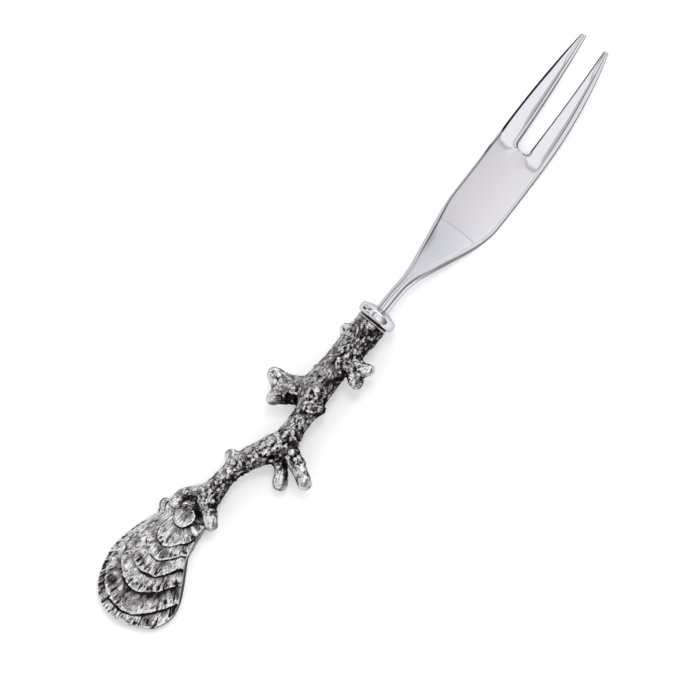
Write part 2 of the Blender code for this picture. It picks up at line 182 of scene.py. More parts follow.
def pebbles(points: Row, seed: int) -> tuple[Row, Row, Row, Row]:
    """Cells around scattered seeds, one seed to each unit cube.

    Each cell also gets a plane through its seed that slopes in a random direction.

    Args:
        points: Places, with three coordinates in the last axis.
        seed: A number that picks the scattering.

    Returns:
        The distance to the nearest seed, to the next one, a random share for each cell and the
        height of its sloping plane.
    """
    corner = np.floor(points)
    nearest = np.full(points.shape[:-1], np.inf)
    second = nearest.copy()
    share = np.zeros_like(nearest)
    plane = np.zeros_like(nearest)
    for step in np.ndindex(3, 3, 3):
        cell = corner + np.array(step) - 1
        jitter = np.stack([random_share(cell, seed + axis) for axis in range(3)], axis=-1)
        away = points - cell - CELL_MARGIN - (1 - 2 * CELL_MARGIN) * jitter
        distance = np.linalg.norm(away, axis=-1)
        closer = distance < nearest
        slope = np.stack([random_share(cell, seed + axis) for axis in (4, 5, 6)], axis=-1) - 0.5
        plane = np.where(closer, np.sum(away * slope, axis=-1), plane)
        second = np.where(closer, nearest, np.minimum(second, distance))
        share = np.where(closer, random_share(cell, seed + 3), share)
        nearest = np.where(closer, distance, nearest)
    return nearest, second, share, plane


def smooth_row(stops: Row, steps: int, closed: bool = False) -> Row:
    """Points on a Catmull-Rom curve through a row of stops.

    Args:
        stops: One stop a line, with any number of values.
        steps: How many points each stretch between two stops gets.
        closed: Whether the row runs back to its first stop.

    Returns:
        The points; an open row keeps its last stop as well.
    """
    if closed:
        before, after, beyond = (np.roll(stops, shift, axis=0) for shift in (1, -1, -2))
        start = stops
    else:
        padded = np.vstack([2 * stops[0] - stops[1], stops, 2 * stops[-1] - stops[-2]])
        before, start, after, beyond = padded[:-3], padded[1:-2], padded[2:-1], padded[3:]
    t = (np.arange(steps) / steps)[None, :, None]
    a, b, c, d = (part[:, None, :] for part in (before, start, after, beyond))
    bend = (2 * a - 5 * b + 4 * c - d) * t**2
    twist = (3 * b - a - 3 * c + d) * t**3
    path = (0.5 * (2 * b + (c - a) * t + bend + twist)).reshape(-1, stops.shape[1])
    return path if closed else np.vstack([path, stops[-1]])


def grid_faces(rows: int, columns: int) -> Row:
    """Corner numbers of the quads of a grid of points whose rows run back to their first point.

    Args:
        rows: How many rows of points there are.
        columns: How many points each row has.

    Returns:
        Four corner numbers for each quad, row by row.
    """
    across = np.arange(columns)
    beside = (across + 1) % columns
    base = np.arange(rows - 1)[:, None] * columns
    quads = (base + across, base + beside, base + columns + beside, base + columns + across)
    return np.stack(quads, axis=-1).reshape(-1, 4)


def new_piece(name: str, points: Row, faces: Row, patina_and_painted_shade: Row) -> bpy.types.Object:
    """A closed, smooth shaded object from points and quads.

    Points that coincide are welded, which closes seams and poles, and faces are turned outwards.

    Args:
        name: The piece's name.
        points: Three coordinates for each point, in the fork's frame.
        faces: Four corner numbers for each quad.
        patina_and_painted_shade: How dark each point is, from 0 to 1, by patina and painted shade.

    Returns:
        The new object, at the origin.
    """
    mesh = bpy.data.meshes.new(name)
    mesh.from_pydata(points, [], faces)
    layer = mesh.attributes.new(PATINA_AND_PAINTED_SHADE, "FLOAT", "POINT")
    layer.data.foreach_set("value", patina_and_painted_shade.astype(np.float32))
    bm = bmesh.new()
    bm.from_mesh(mesh)
    bmesh.ops.remove_doubles(bm, verts=bm.verts, dist=WELD_DISTANCE)
    loose = [vert for vert in bm.verts if not vert.link_faces]
    bmesh.ops.delete(bm, geom=loose, context="VERTS")
    bmesh.ops.recalc_face_normals(bm, faces=bm.faces)
    bm.to_mesh(mesh)
    bm.free()
    mesh.shade_smooth()
    piece = bpy.data.objects.new(name, mesh)
    bpy.context.scene.collection.objects.link(piece)
    log.info("%s: %d points, %d faces", name, len(mesh.vertices), len(mesh.polygons))
    return piece


class Wiring:
    """A hand for laying out the nodes of a material or of the world."""

    def __init__(self, tree: bpy.types.NodeTree) -> None:
        """Keeps the tree that the nodes go into."""
        self.tree = tree

    def add(self, kind: str, **settings: object) -> bpy.types.Node:
        """Adds a node.

        Args:
            kind: The node's type name.
            settings: Properties of the node.

        Returns:
            The node.
        """
        node = self.tree.nodes.new(kind)
        for name, value in settings.items():
            setattr(node, name, value)
        return node

    def feed(self, node: bpy.types.Node, place: int | str, source: object) -> None:
        """Links a socket to one of a node's inputs, or sets the input to a number or colour."""
        socket = node.inputs[place]
        if isinstance(source, bpy.types.NodeSocket):
            self.tree.links.new(source, socket)
        elif isinstance(source, tuple) and len(source) == 3 and socket.type == "RGBA":
            socket.default_value = (*source, 1.0)
        else:
            socket.default_value = source

    def math(self, operation: str, *sources: object) -> bpy.types.NodeSocket:
        """The result of a Math node on numbers or sockets."""
        node = self.add("ShaderNodeMath", operation=operation)
        for place, source in enumerate(sources):
            self.feed(node, place, source)
        return node.outputs[0]

    def mix(
        self, share: object, first: object, second: object, blend: str = "MIX"
    ) -> bpy.types.NodeSocket:
        """A colour blended from two others."""
        node = self.add("ShaderNodeMix", data_type="RGBA", blend_type=blend)
        for place, source in ((0, share), (6, first), (7, second)):
            self.feed(node, place, source)
        return node.outputs[2]

    def rise(
        self, source: object, low: float, high: float, bottom: float = 0.0, top: float = 1.0
    ) -> bpy.types.NodeSocket:
        """A smooth step of a socket, from bottom at low to top at high."""
        node = self.add("ShaderNodeMapRange", interpolation_type="SMOOTHSTEP")
        for place, value in enumerate((source, low, high, bottom, top)):
            self.feed(node, place, value)
        return node.outputs[0]

    def band(self, place: object, span: Span, soft: float) -> bpy.types.NodeSocket:
        """A share that is 1 inside a span and falls to 0 over a soft width past each end."""
        low, high = span
        begin = self.rise(place, low - soft, low)
        return self.math("MULTIPLY", begin, self.rise(place, high + soft, high))

    def levels(self, place: object, stops: list[Span], most: float) -> bpy.types.NodeSocket:
        """Grey levels between stops, from a ramp that holds them as shares of the most."""
        node = self.add("ShaderNodeValToRGB")
        elements = node.color_ramp.elements
        shares = [(spot, level / most) for spot, level in stops]
        for element, (spot, share) in zip(elements, (shares[0], shares[-1])):
            element.position = spot
            element.color = (share, share, share, 1.0)
        for spot, share in shares[1:-1]:
            elements.new(spot).color = (share, share, share, 1.0)
        self.feed(node, 0, place)
        return self.math("MULTIPLY", node.outputs[0], most)

    def noise(self, size: Vector, detail: float = 2.0) -> bpy.types.NodeSocket:
        """Noise on Object coordinates whose lumps have about the given size along each axis."""
        place = self.add("ShaderNodeTexCoord").outputs["Object"]
        mapping = self.add("ShaderNodeMapping")
        self.feed(mapping, "Vector", place)
        self.feed(mapping, "Scale", Vector(1 / length for length in size))
        noise = self.add("ShaderNodeTexNoise")
        self.feed(noise, "Vector", mapping.outputs[0])
        self.feed(noise, "Scale", 1.0)
        self.feed(noise, "Detail", detail)
        return noise.outputs[0]


@dataclass(frozen=True)
class Finish:
    """A metal or paste with an even colour and a faint grain."""

    name: str
    colour: Colour
    roughness: float
    metallic: float = 1.0
    grain: tuple[float, float, float] = (0.4 * MM, 0.4 * MM, 0.4 * MM)
    grain_depth: float = 0.01 * MM
    grain_span: Span = (0.3, 0.7)
    roughness_spread: float = 0.03
    colour_spread: float = 0.04
    edge_tint: Colour = (1.0, 1.0, 1.0)

    def start(self) -> tuple[bpy.types.Material, Wiring, bpy.types.Node]:
        """An empty material, its wiring and its Principled shader."""
        material = bpy.data.materials.new(self.name)
        material.use_nodes = True
        wiring = Wiring(material.node_tree)
        shader = material.node_tree.nodes["Principled BSDF"]
        wiring.feed(shader, "Metallic", self.metallic)
        wiring.feed(shader, "Specular Tint", self.edge_tint)
        return material, wiring, shader

    def bump(self, wiring: Wiring, shader: bpy.types.Node, height: object) -> None:
        """Raises the surface by the grain's depth where height is 1."""
        bump = wiring.add("ShaderNodeBump")
        wiring.feed(bump, "Strength", 1.0)
        wiring.feed(bump, "Distance", self.grain_depth)
        wiring.feed(bump, "Height", height)
        wiring.feed(shader, "Normal", bump.outputs[0])

    def material(self) -> bpy.types.Material:
        """The material: grain varies the colour and roughness a little and lifts the surface."""
        material, wiring, shader = self.start()
        grain = wiring.noise(Vector(self.grain))
        pale = tuple(min(1.0, part * (1 + self.colour_spread)) for part in self.colour)
        deep = tuple(part * (1 - self.colour_spread) for part in self.colour)
        wiring.feed(shader, "Base Color", wiring.mix(grain, deep, pale))
        low, high = self.roughness - self.roughness_spread, self.roughness + self.roughness_spread
        wiring.feed(shader, "Roughness", wiring.rise(grain, *self.grain_span, low, high))
        self.bump(wiring, shader, grain)
        return material


@dataclass(frozen=True)
class PatinaAndShadeFinish(Finish):
    """Metal that is bright on its high points and dark in recesses, with painted shade on the head's
    walls and at the collar's groove and joint.

    The mesh's patina value picks the tone: 0 is bright and 1 is black. It holds real patina and also
    painted shade and painted highlights.
    """

    dark: Colour = (0.020, 0.017, 0.015)
    middle: Colour = (0.265, 0.25, 0.24)
    tone_places: tuple[float, float, float] = (0.12, 0.45, 0.85)
    speckle: float = 0.2
    dark_roughness: float = 0.5
    roughness_span: Span = (0.1, 0.9)

    def material(self) -> bpy.types.Material:
        """The material: patina and a fine grain run through a three-tone ramp."""
        material, wiring, shader = self.start()
        patina_and_painted_shade = wiring.add("ShaderNodeAttribute", attribute_name=PATINA_AND_PAINTED_SHADE).outputs["Fac"]
        grain = wiring.noise(Vector(self.grain))
        speckle = wiring.math("MULTIPLY_ADD", grain, self.speckle, -self.speckle / 2)
        tone = wiring.math("ADD", patina_and_painted_shade, speckle)
        ramp = wiring.add("ShaderNodeValToRGB")
        elements = ramp.color_ramp.elements
        bright_place, middle_place, dark_place = self.tone_places
        elements[0].color = (*self.colour, 1.0)
        elements[0].position = bright_place
        elements[1].color = (*self.dark, 1.0)
        elements[1].position = dark_place
        elements.new(middle_place).color = (*self.middle, 1.0)
        wiring.feed(ramp, 0, tone)
        wiring.feed(shader, "Base Color", ramp.outputs[0])
        rough = wiring.rise(tone, *self.roughness_span, self.roughness, self.dark_roughness)
        wiring.feed(shader, "Roughness", rough)
        self.bump(wiring, shader, grain)
        return material


POLISHED_STEEL = PatinaAndShadeFinish(
    "polished_steel",
    (0.645, 0.632, 0.66),
    roughness=0.03,
    grain=(0.25 * MM, 6 * MM, 0.25 * MM),
    grain_depth=0.0001 * MM,
    edge_tint=(0.42, 0.40, 0.45),
)
POLISHED_PEWTER = PatinaAndShadeFinish(
    "polished_pewter",
    (0.65, 0.635, 0.65),
    roughness=0.1,
    grain=(0.5 * MM, 0.5 * MM, 0.5 * MM),
    grain_depth=0.004 * MM,
    edge_tint=(0.6, 0.58, 0.64),
)
ANTIQUE_PEWTER = PatinaAndShadeFinish(
    "antique_pewter",
    (0.75, 0.74, 0.735),
    roughness=0.08,
    grain=(0.3 * MM, 0.3 * MM, 0.3 * MM),
    grain_depth=0.004 * MM,
    edge_tint=(0.25, 0.25, 0.25),
)
SET_EPOXY = Finish("set_epoxy", (0.72, 0.66, 0.52), roughness=0.6, metallic=0.0)
DULL_SOLDER = Finish("dull_solder", (0.60, 0.60, 0.60), roughness=0.4)


@dataclass
class Layout:
    """Places that the pieces share, read from the frame."""

    collar_low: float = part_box("collar_ring")[0].y
    front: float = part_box("collar_ring")[1].y
    axis_height: float = sum(corner.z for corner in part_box("collar_ring")) / 2
    seat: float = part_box("coral_handle")[1].y
    shell_low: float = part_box("oyster_shell")[0].y
    shell_left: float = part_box("oyster_shell")[0].x
    shell_right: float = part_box("oyster_shell")[1].x


@dataclass
class Piece:
    """A visible piece that stands for a CAD node."""

    finish: ClassVar[Finish]
    slot: ClassVar[Slot]
    node: ClassVar[str]
    layout: Layout

    def build(self) -> bpy.types.Object:
        """Makes the piece's mesh, each kind of piece in its own way."""
        raise NotImplementedError

    def dress(self) -> bpy.types.Object:
        """Builds the piece, gives it its finish and puts it in its CAD node's place.

        Returns:
            The finished piece.
        """
        piece = self.build()
        piece.data.materials.append(self.finish.material())
        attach(piece, "root")
        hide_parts(self.node)
        log.info("%s stands for %s", piece.name, self.node)
        return piece


@dataclass
class HeadSections:
    """The sections of the head's right half, one row each.

    inner and outer are the plan edges, as across and distance from the collar's front, and reach is
    the outer one's distance. into_slot and outward are unit directions out of them. half_width is
    taken before the tips close. closing falls from 1 to 0 at the tips, and first is the number of
    the first row that has an inner edge.
    """

    inner: Row
    outer: Row
    into_slot: Row
    outward: Row
    reach: Row
    half_width: Row
    thick_inner: Row
    thick_outer: Row
    closing: Row
    first: int

    def widths(self) -> Row:
        """How wide each section is in plan."""
        return np.linalg.norm(self.outer - self.inner, axis=1)


@dataclass
class ForkHead(Piece):
    """The steel forging: blade, two tines, neck and tang."""

    finish = POLISHED_STEEL
    slot = Slot.STEEL
    node = "fork_head"
    length: float = 75.2 * MM
    blade_width: float = 13.6 * MM
    blade_thickness: float = 1.7 * MM
    belly_drop: float = 6.6 * MM
    belly_distance: float = 29.5 * MM
    neck_radius: float = 1.43 * MM
    neck_length: float = 2.2 * MM
    waist_distance: float = 6.2 * MM
    flare_length: float = 24.0 * MM
    taper_length: float = 30.2 * MM
    taper_power: float = 2.2
    tine_length: float = 28.8 * MM
    tine_tip_width: float = 1.15 * MM
    tine_tip_thickness: float = 0.9 * MM
    tip_rounding: float = 0.4 * MM
    slot_root_width: float = 4.0 * MM
    slot_mouth_width: float = 5.6 * MM
    slot_corner: float = 1.4 * MM
    tang_radius: float = 1.2 * MM
    tang_length: float = 16.0 * MM
    tang_chamfer: float = 0.4 * MM
    low_edge_run: float = 0.75 * MM
    belly_edge_run: float = 0.4 * MM
    tine_edge_run: float = 0.8 * MM
    slot_edge_run: float = 0.4 * MM
    back_edge_run: float = 0.3 * MM
    slot_back_run: float = 0.15 * MM
    edge_share: float = 0.25
    bevel_span: Span = (5 * MM, 16 * MM)
    belly_edge_span: Span = (22 * MM, 31 * MM)
    tine_edge_span: Span = (43 * MM, 49 * MM)
    bevel_slope: float = 0.385
    bevel_power: float = 0.75
    least_flat: float = 0.1 * MM
    crown: float = 0.13 * MM
    root_sink: float = 0.095 * MM
    root_sink_along: Span = (4.5 * MM, 2 * MM)
    root_sink_across: Span = (2.7 * MM, 1.2 * MM)
    # Painted shade on the edge walls, standing in for the shaded floor they mirror.
    wall_painted_shade: float = 0.42
    wall_top: Span = (0.45, 0.1)
    wall_foot: Span = (-1.0, -0.6)
    blade_stations: int = 180
    root_stations: int = 8
    corner_stations: int = 14
    tine_stations: int = 120
    cap_stations: int = 14
    split_stations: int = 60
    flat_columns: int = 10
    arc_columns: int = 14

    def drop(self, distance: Row) -> Row:
        """How far the middle lies below the axis: a smooth step to the belly, then a parabola."""
        fall = ease((distance - self.neck_length) / (self.belly_distance - self.neck_length))
        rise = (distance - self.belly_distance) / (self.length - self.belly_distance)
        return self.belly_drop * np.where(distance < self.belly_distance, fall, 1 - rise**2)

    def flare(self, distance: Row) -> Row:
        """How far the neck has widened to the blade, as a smooth step."""
        return ease((distance - self.waist_distance) / self.flare_length)

    def half_width(self, distance: Row) -> Row:
        """Half the plan width: neck, flare, full blade, then a power curve in to the tips."""
        width = blended(self.neck_radius, self.blade_width / 2, self.flare(distance))
        taper = np.maximum(0.0, 1 - (self.length - distance) / self.taper_length)
        narrowing = self.blade_width - self.slot_mouth_width - 2 * self.tine_tip_width
        return width - narrowing / 2 * taper**self.taper_power

    def half_thickness(self, distance: Row) -> Row:
        """Half the thickness, which thins along the flare and again along the tines."""
        thickness = blended(self.neck_radius, self.blade_thickness / 2, self.flare(distance))
        taper = np.maximum(0.0, 1 - (self.length - distance) / self.tine_length)
        return thickness - (self.blade_thickness - self.tine_tip_thickness) / 2 * taper**2

    def root(self) -> float:
        """How far the slot's root is from the collar's front."""
        return self.length - self.tine_length

    def slot_edge(self) -> tuple[Row, Row]:
        """The right half of the slot's edge in plan, from the middle of its root to the tip.

        A straight root runs into a quarter arc and then into a straight side that leans outwards.

        Returns:
            The points as across and distance, and the unit directions that point into the slot.
        """
        corner = self.slot_root_width / 2 - self.slot_corner
        run = np.linspace(0, corner, self.root_stations, endpoint=False)
        flat = np.stack([run, np.full_like(run, self.root())], axis=1)
        turn = np.linspace(0, math.pi / 2, self.corner_stations, endpoint=False)
        into = np.stack([-np.sin(turn), np.cos(turn)], axis=1)
        arc = np.array([corner, self.root() + self.slot_corner]) - into * self.slot_corner
        side_length = self.tine_length - self.slot_corner
        straight = side_length - self.tip_rounding
        cap = self.tip_rounding * np.sin(np.linspace(0, math.pi / 2, self.cap_stations))
        along = np.linspace(0, straight, self.tine_stations, endpoint=False)
        along = np.concatenate([along, straight + cap])
        widening = (self.slot_mouth_width - self.slot_root_width) / 2
        across = self.slot_root_width / 2 + widening * along / side_length
        side = np.stack([across, self.root() + self.slot_corner + along], axis=1)
        ahead = np.tile([0.0, 1.0], (len(flat), 1))
        aside = np.tile([-1.0, 0.0], (len(side), 1))
        return np.vstack([flat, arc, side]), np.vstack([ahead, into, aside])

    def tang(self) -> tuple[Row, Row]:
        """The tang's stations, up to where the neck steps out at the collar's seat.

        Returns:
            The distance of each station, and the radius at each but the last.
        """
        seat = self.layout.seat - self.layout.front
        end = seat - self.tang_length
        tip_radius = self.tang_radius - self.tang_chamfer
        stations = np.array([end, end, end + self.tang_chamfer, seat, seat])
        return stations, np.array([0.0, tip_radius, self.tang_radius, self.tang_radius])

    def sections(self) -> HeadSections:
        """The plan edges and the thickness of each section, from the tang's end to the tips.

        Up to the slot the inner edge is the middle line, and from there it is the slot's edge. At
        the tips both edges and the thickness close in on a quarter circle.

        Returns:
            The sections.
        """
        slot, into_slot = self.slot_edge()
        tang, tang_radius = self.tang()
        blade_end = self.root() - self.slot_edge_run
        whole = np.append(tang, np.linspace(0, blade_end, self.blade_stations, endpoint=False))
        first = len(whole)
        inner = np.vstack([np.stack([0 * whole, whole], 1), slot])
        corner_end = self.root_stations + self.corner_stations
        sweep = np.linspace(blade_end, slot[corner_end, 1], corner_end, endpoint=False)
        reach = np.concatenate([whole, sweep, slot[corner_end:, 1]])
        width = self.half_width(reach)
        thick_inner, thick_outer = self.half_thickness(inner[:, 1]), self.half_thickness(reach)
        for sizes in (width, thick_inner, thick_outer):
            sizes[: len(tang_radius)] = tang_radius
        outer = np.stack([width, reach], axis=1)
        slope = np.gradient(width[first:], reach[first:])
        outward = np.stack([np.ones_like(slope), -slope], 1)
        outward = np.vstack([np.tile([1.0, 0.0], (first, 1)), outward])
        past_cap = np.maximum(0.0, reach - (self.length - self.tip_rounding)) / self.tip_rounding
        closing = np.sqrt(np.maximum(0.0, 1 - past_cap**2))
        middle = (inner + outer) / 2
        return HeadSections(
            inner=blended(middle, inner, closing[:, None]),
            outer=blended(middle, outer, closing[:, None]),
            into_slot=np.vstack([np.zeros((first, 2)), into_slot]),
            outward=outward / np.linalg.norm(outward, axis=1, keepdims=True),
            reach=reach,
            half_width=width,
            thick_inner=thick_inner * closing,
            thick_outer=thick_outer * closing,
            closing=closing,
            first=first,
        )

    def edge_runs(self, rows: HeadSections) -> tuple[Row, Row, Row, Row]:
        """How far in from its plan edges each section is rounded.

        The neck is round. Along the flare the rounding gives way to a narrow bevel, whose width
        changes at the belly and again at the tines.

        Args:
            rows: The sections.

        Returns:
            The run of the outer edge on top, of the slot's edge on top and of the outer edge below,
            and how far the bevel has taken over, as one column each.
        """
        reach = rows.reach[:, None]
        bevel = between(reach, *self.bevel_span)
        run = blended(self.low_edge_run, self.belly_edge_run, between(reach, *self.belly_edge_span))
        wider = self.tine_edge_run - self.belly_edge_run
        run = run + wider * between(reach, *self.tine_edge_span)
        round_run = np.maximum(0.0, rows.half_width[:, None] - self.least_flat)
        run = np.minimum(blended(round_run, run, bevel), round_run)
        limit = self.edge_share * rows.widths()[:, None]
        slotted = np.arange(len(reach))[:, None] >= rows.first
        run = np.where(slotted, np.minimum(run, limit), run)
        back_run = blended(run, np.minimum(self.back_edge_run, limit), bevel)
        return run, np.minimum(self.slot_edge_run, limit), back_run, bevel

    def columns(self) -> tuple[Row, Row, Row]:
        """How a section's points run: over the top, round the outer edge, back, round the inner edge.

        Returns:
            The share from the inner to the outer edge, which edge a point rounds (1 outer, -1 inner,
            0 neither), and how far round it is as a sine, 1 on top and -1 below.
        """
        flat = np.linspace(0, 1, self.flat_columns)
        turn = np.linspace(math.pi / 2, -math.pi / 2, self.arc_columns + 2)[1:-1]
        none = np.zeros_like(flat)
        share = np.concatenate([flat, np.ones_like(turn), flat[::-1], np.zeros_like(turn)])
        edge = np.concatenate([none, np.ones_like(turn), none, -np.ones_like(turn)])
        height = np.concatenate([none + 1, np.sin(turn), none - 1, np.sin(turn)[::-1]])
        return share, edge, height

    def sinking(self, rows: HeadSections, plan: Row, share: Row) -> Row:
        """How far the face lies below a flat one: a slight crown, and a dip around the slot's root.

        The crown falls with the square of the distance from its middle, which is the middle line on
        the blade and each tine's own middle past the slot.

        Args:
            rows: The sections.
            plan: Across and distance of each point.
            share: The share from the inner to the outer edge of each column.

        Returns:
            One depth for each point.
        """
        split_end = rows.first + self.split_stations
        split = between(np.arange(len(plan)), rows.first, split_end)[:, None]
        off_middle = blended(share**2, (2 * share - 1) ** 2, split)
        tine_width = (self.blade_width - self.slot_root_width) / 2
        crown = self.crown * self.flare(rows.reach) * np.minimum(1.0, rows.widths() / tine_width)
        across, along = np.abs(plan[..., 0]), plan[..., 1]
        before, past = self.root_sink_along
        near_root = between(along, self.root() - before, self.root())
        near_root = near_root * between(along, self.root() + past, self.root())
        dip = self.root_sink * near_root * between(across, *self.root_sink_across)
        return (crown[:, None] * off_middle + dip) * rows.closing[:, None]

    def half_points(self) -> tuple[Row, Row, int]:
        """Points of the right half, one section a row.

        Each section is a flat bar between its plan edges. On top it slopes to a bevel along each
        edge, by a power of the sine round it, and below the edge is a small round. The section is
        lifted to the curved middle surface and set square to it.

        Returns:
            The points, the painted shade that darkens their edge walls, and the number of the first row
            that has an inner edge.
        """
        rows = self.sections()
        run, slot_run, back_run, bevel = self.edge_runs(rows)
        share, edge, height = self.columns()
        power = np.where(height > 0, 1 + self.bevel_power * bevel, 1.0)
        past = np.maximum(0.0, 1 - height**2) ** (power / 2)
        outer_run = np.where(height > 0, run, back_run)
        inner_run = np.where(height > 0, slot_run, np.minimum(self.slot_back_run, slot_run))
        start = rows.inner[:, None] - rows.into_slot[:, None] * inner_run[..., None]
        end = rows.outer[:, None] - rows.outward[:, None] * outer_run[..., None]
        plan = blended(start, end, share[None, :, None])
        plan = plan + rows.into_slot[:, None] * (inner_run * past * (edge < 0))[..., None]
        plan = plan + rows.outward[:, None] * (outer_run * past * (edge > 0))[..., None]
        thick = blended(rows.thick_inner[:, None], rows.thick_outer[:, None], share)
        drop = self.bevel_slope * np.where(edge < 0, slot_run, run)
        drop = blended(thick, np.minimum(drop, thick), bevel)
        rounded = np.abs(height) ** power
        lift = thick - drop + np.where(height > 0, drop, drop - 2 * thick) * rounded
        sink = self.sinking(rows, plan, share) * between(height, -1.0, 0.0)
        # Painted shade: the edge walls are darkened, standing in for the shaded floor they mirror.
        wall = between(height, *self.wall_top) * between(height, *self.wall_foot) * (edge != 0)
        return self.lifted(plan, lift - sink), self.wall_painted_shade * wall * bevel, rows.first

    def lifted(self, plan: Row, lift: Row) -> Row:
        """Plan points set on the curved middle surface and raised square to it.

        Args:
            plan: Across and distance of each point.
            lift: How far each point stands off the middle surface.

        Returns:
            The points in the fork's frame.
        """
        distance = plan[..., 1]
        tiny = 0.01 * MM
        slope = (self.drop(distance - tiny) - self.drop(distance + tiny)) / (2 * tiny)
        slant = np.sqrt(1 + slope**2)
        y = self.layout.front + distance - lift * slope / slant
        z = self.layout.axis_height - self.drop(distance) + lift / slant
        return np.stack([plan[..., 0], y, z], axis=-1)

    def build(self) -> bpy.types.Object:
        """The head: its right half, and the same half mirrored and welded along the middle.

        Returns:
            The new piece.
        """
        half, patina_and_painted_shade, first = self.half_points()
        rows, columns = half.shape[:2]
        faces = grid_faces(rows, columns).reshape(rows - 1, columns, 4)
        outside = 2 * self.flat_columns + self.arc_columns - 1
        faces = np.vstack([faces[:first, :outside].reshape(-1, 4), faces[first:].reshape(-1, 4)])
        points = half.reshape(-1, 3)
        both = np.vstack([faces, faces[:, ::-1] + len(points)])
        points = np.vstack([points, points * [-1, 1, 1]])
        return new_piece("polished_head", points, both, np.tile(patina_and_painted_shade.ravel(), 2))


@dataclass
class CollarRing(Piece):
    """The polished bead with its groove and thin lip, turned about the neck."""

    finish = POLISHED_PEWTER
    slot = Slot.BRIGHT_PEWTER
    node = "collar_ring"
    bead_radius: float = 4.6 * MM
    bead_length: float = 3.05 * MM
    bead_shoulder: float = 0.6 * MM
    low_length: float = 1.3 * MM
    low_radius: float = 3.85 * MM
    groove_radius: float = 3.5 * MM
    groove_length: float = 0.4 * MM
    groove_inset: float = 0.08 * MM
    groove_drop: float = 0.06 * MM
    groove_foot: float = 0.02 * MM
    lip_radius: float = 3.8 * MM
    lip_length: float = 0.35 * MM
    bore_radius: float = 1.53 * MM
    waviness: float = 0.02 * MM
    waves_round: float = 1.6
    wave_length: float = 2.5 * MM
    # Painted shade at the joint with the neck; the groove holds patina and painted shade, lighter on the
    # left.
    joint_painted_shade: float = 0.8
    joint_span: Span = (0.5 * MM, 0.15 * MM)
    groove_patina_and_shade: tuple[float, float, float] = (0.6, 1.0, 1.0)
    lip_patina: float = 0.1
    left_lightening_share: float = 0.45
    left_lightening_span: Span = (2 * MM, -3 * MM)
    crown_points: int = 20
    upper_points: int = 24
    lower_points: int = 16
    lip_points: int = 14
    turns: int = 192

    @staticmethod
    def arc(centre: Span, swell: float, rise: float, turn: Row) -> Row:
        """Points on an ellipse: swell times the cosine out of its centre, rise times the sine up."""
        return np.stack([centre[0] + swell * np.cos(turn), centre[1] + rise * np.sin(turn)], 1)

    def profile(self) -> tuple[Row, Row]:
        """The closed section: a crown, two quarter ellipses, a groove and a rounded lip.

        Returns:
            Radius and height of each point, and its tone: patina and painted shade in the groove and
            painted shade at the joint with the neck.
        """
        bead_low = self.lip_length + self.groove_length
        top = bead_low + self.bead_length
        widest = bead_low + self.low_length
        shoulder = np.linspace(self.bore_radius, self.groove_radius, self.crown_points, endpoint=False)
        slope = (shoulder - self.bore_radius) / (self.groove_radius - self.bore_radius)
        crown = np.stack([shoulder, top - self.bead_shoulder * slope**2], 1)
        upper = self.arc(
            (self.groove_radius, widest),
            self.bead_radius - self.groove_radius,
            top - self.bead_shoulder - widest,
            np.linspace(math.pi / 2, 0, self.upper_points),
        )
        lower = self.arc(
            (self.low_radius, widest),
            self.bead_radius - self.low_radius,
            self.low_length,
            np.linspace(0, -math.pi / 2, self.lower_points + 1)[1:],
        )
        groove = np.array(
            [
                [self.low_radius - self.groove_inset, bead_low - self.groove_drop],
                [self.groove_radius, bead_low - self.groove_inset],
                [self.groove_radius, self.lip_length + self.groove_foot],
            ]
        )
        lip = self.arc(
            (self.groove_radius, self.lip_length / 2),
            self.lip_radius - self.groove_radius,
            self.lip_length / 2,
            np.linspace(math.pi / 2, -math.pi / 2, self.lip_points),
        )
        bottom = np.array([[self.bore_radius, 0.0]])
        # Painted shade at the joint with the neck, and patina and painted shade in the groove.
        joint = self.joint_painted_shade * between(shoulder - self.bore_radius, *self.joint_span)
        bead_patina = np.zeros(self.upper_points + self.lower_points)
        lip_patina = np.full(self.lip_points, self.lip_patina)
        patina_and_painted_shade = np.concatenate([joint, bead_patina, self.groove_patina_and_shade, lip_patina, [0.0]])
        return np.vstack([crown, upper, lower, groove, lip, bottom]), patina_and_painted_shade

    def build(self) -> bpy.types.Object:
        """The ring: the profile carried round the axis, a little uneven from hand finishing.

        Soft noise round the ring moves the bead's radius, and the painted shade in the groove and at the
        joint is lighter on the left.

        Returns:
            The new piece.
        """
        profile, patina_and_painted_shade = self.profile()
        turn = np.linspace(0, 2 * math.pi, self.turns, endpoint=False)[:, None]
        radius, height = profile.T
        across, upward = self.waves_round * np.cos(turn), self.waves_round * np.sin(turn)
        uneven = noise_on(Seed.COLLAR_WAVES, across, upward, height / self.wave_length)
        radius = radius + self.waviness * uneven * between(radius, self.lip_radius, self.bead_radius)
        x = radius * np.sin(turn)
        y = np.broadcast_to(self.layout.collar_low + height, x.shape)
        z = self.layout.axis_height + radius * np.cos(turn)
        points = np.stack([x, y, z], -1)
        points = np.vstack([points, points[:1]])
        faces = grid_faces(*points.shape[:2])
        # The painted shade in the groove and at the joint is lighter on the left.
        lighter_on_left = self.left_lightening_share * between(points[..., 0], *self.left_lightening_span)
        dark = patina_and_painted_shade * (1 - lighter_on_left)
        return new_piece("polished_collar", points.reshape(-1, 3), faces, dark.ravel())


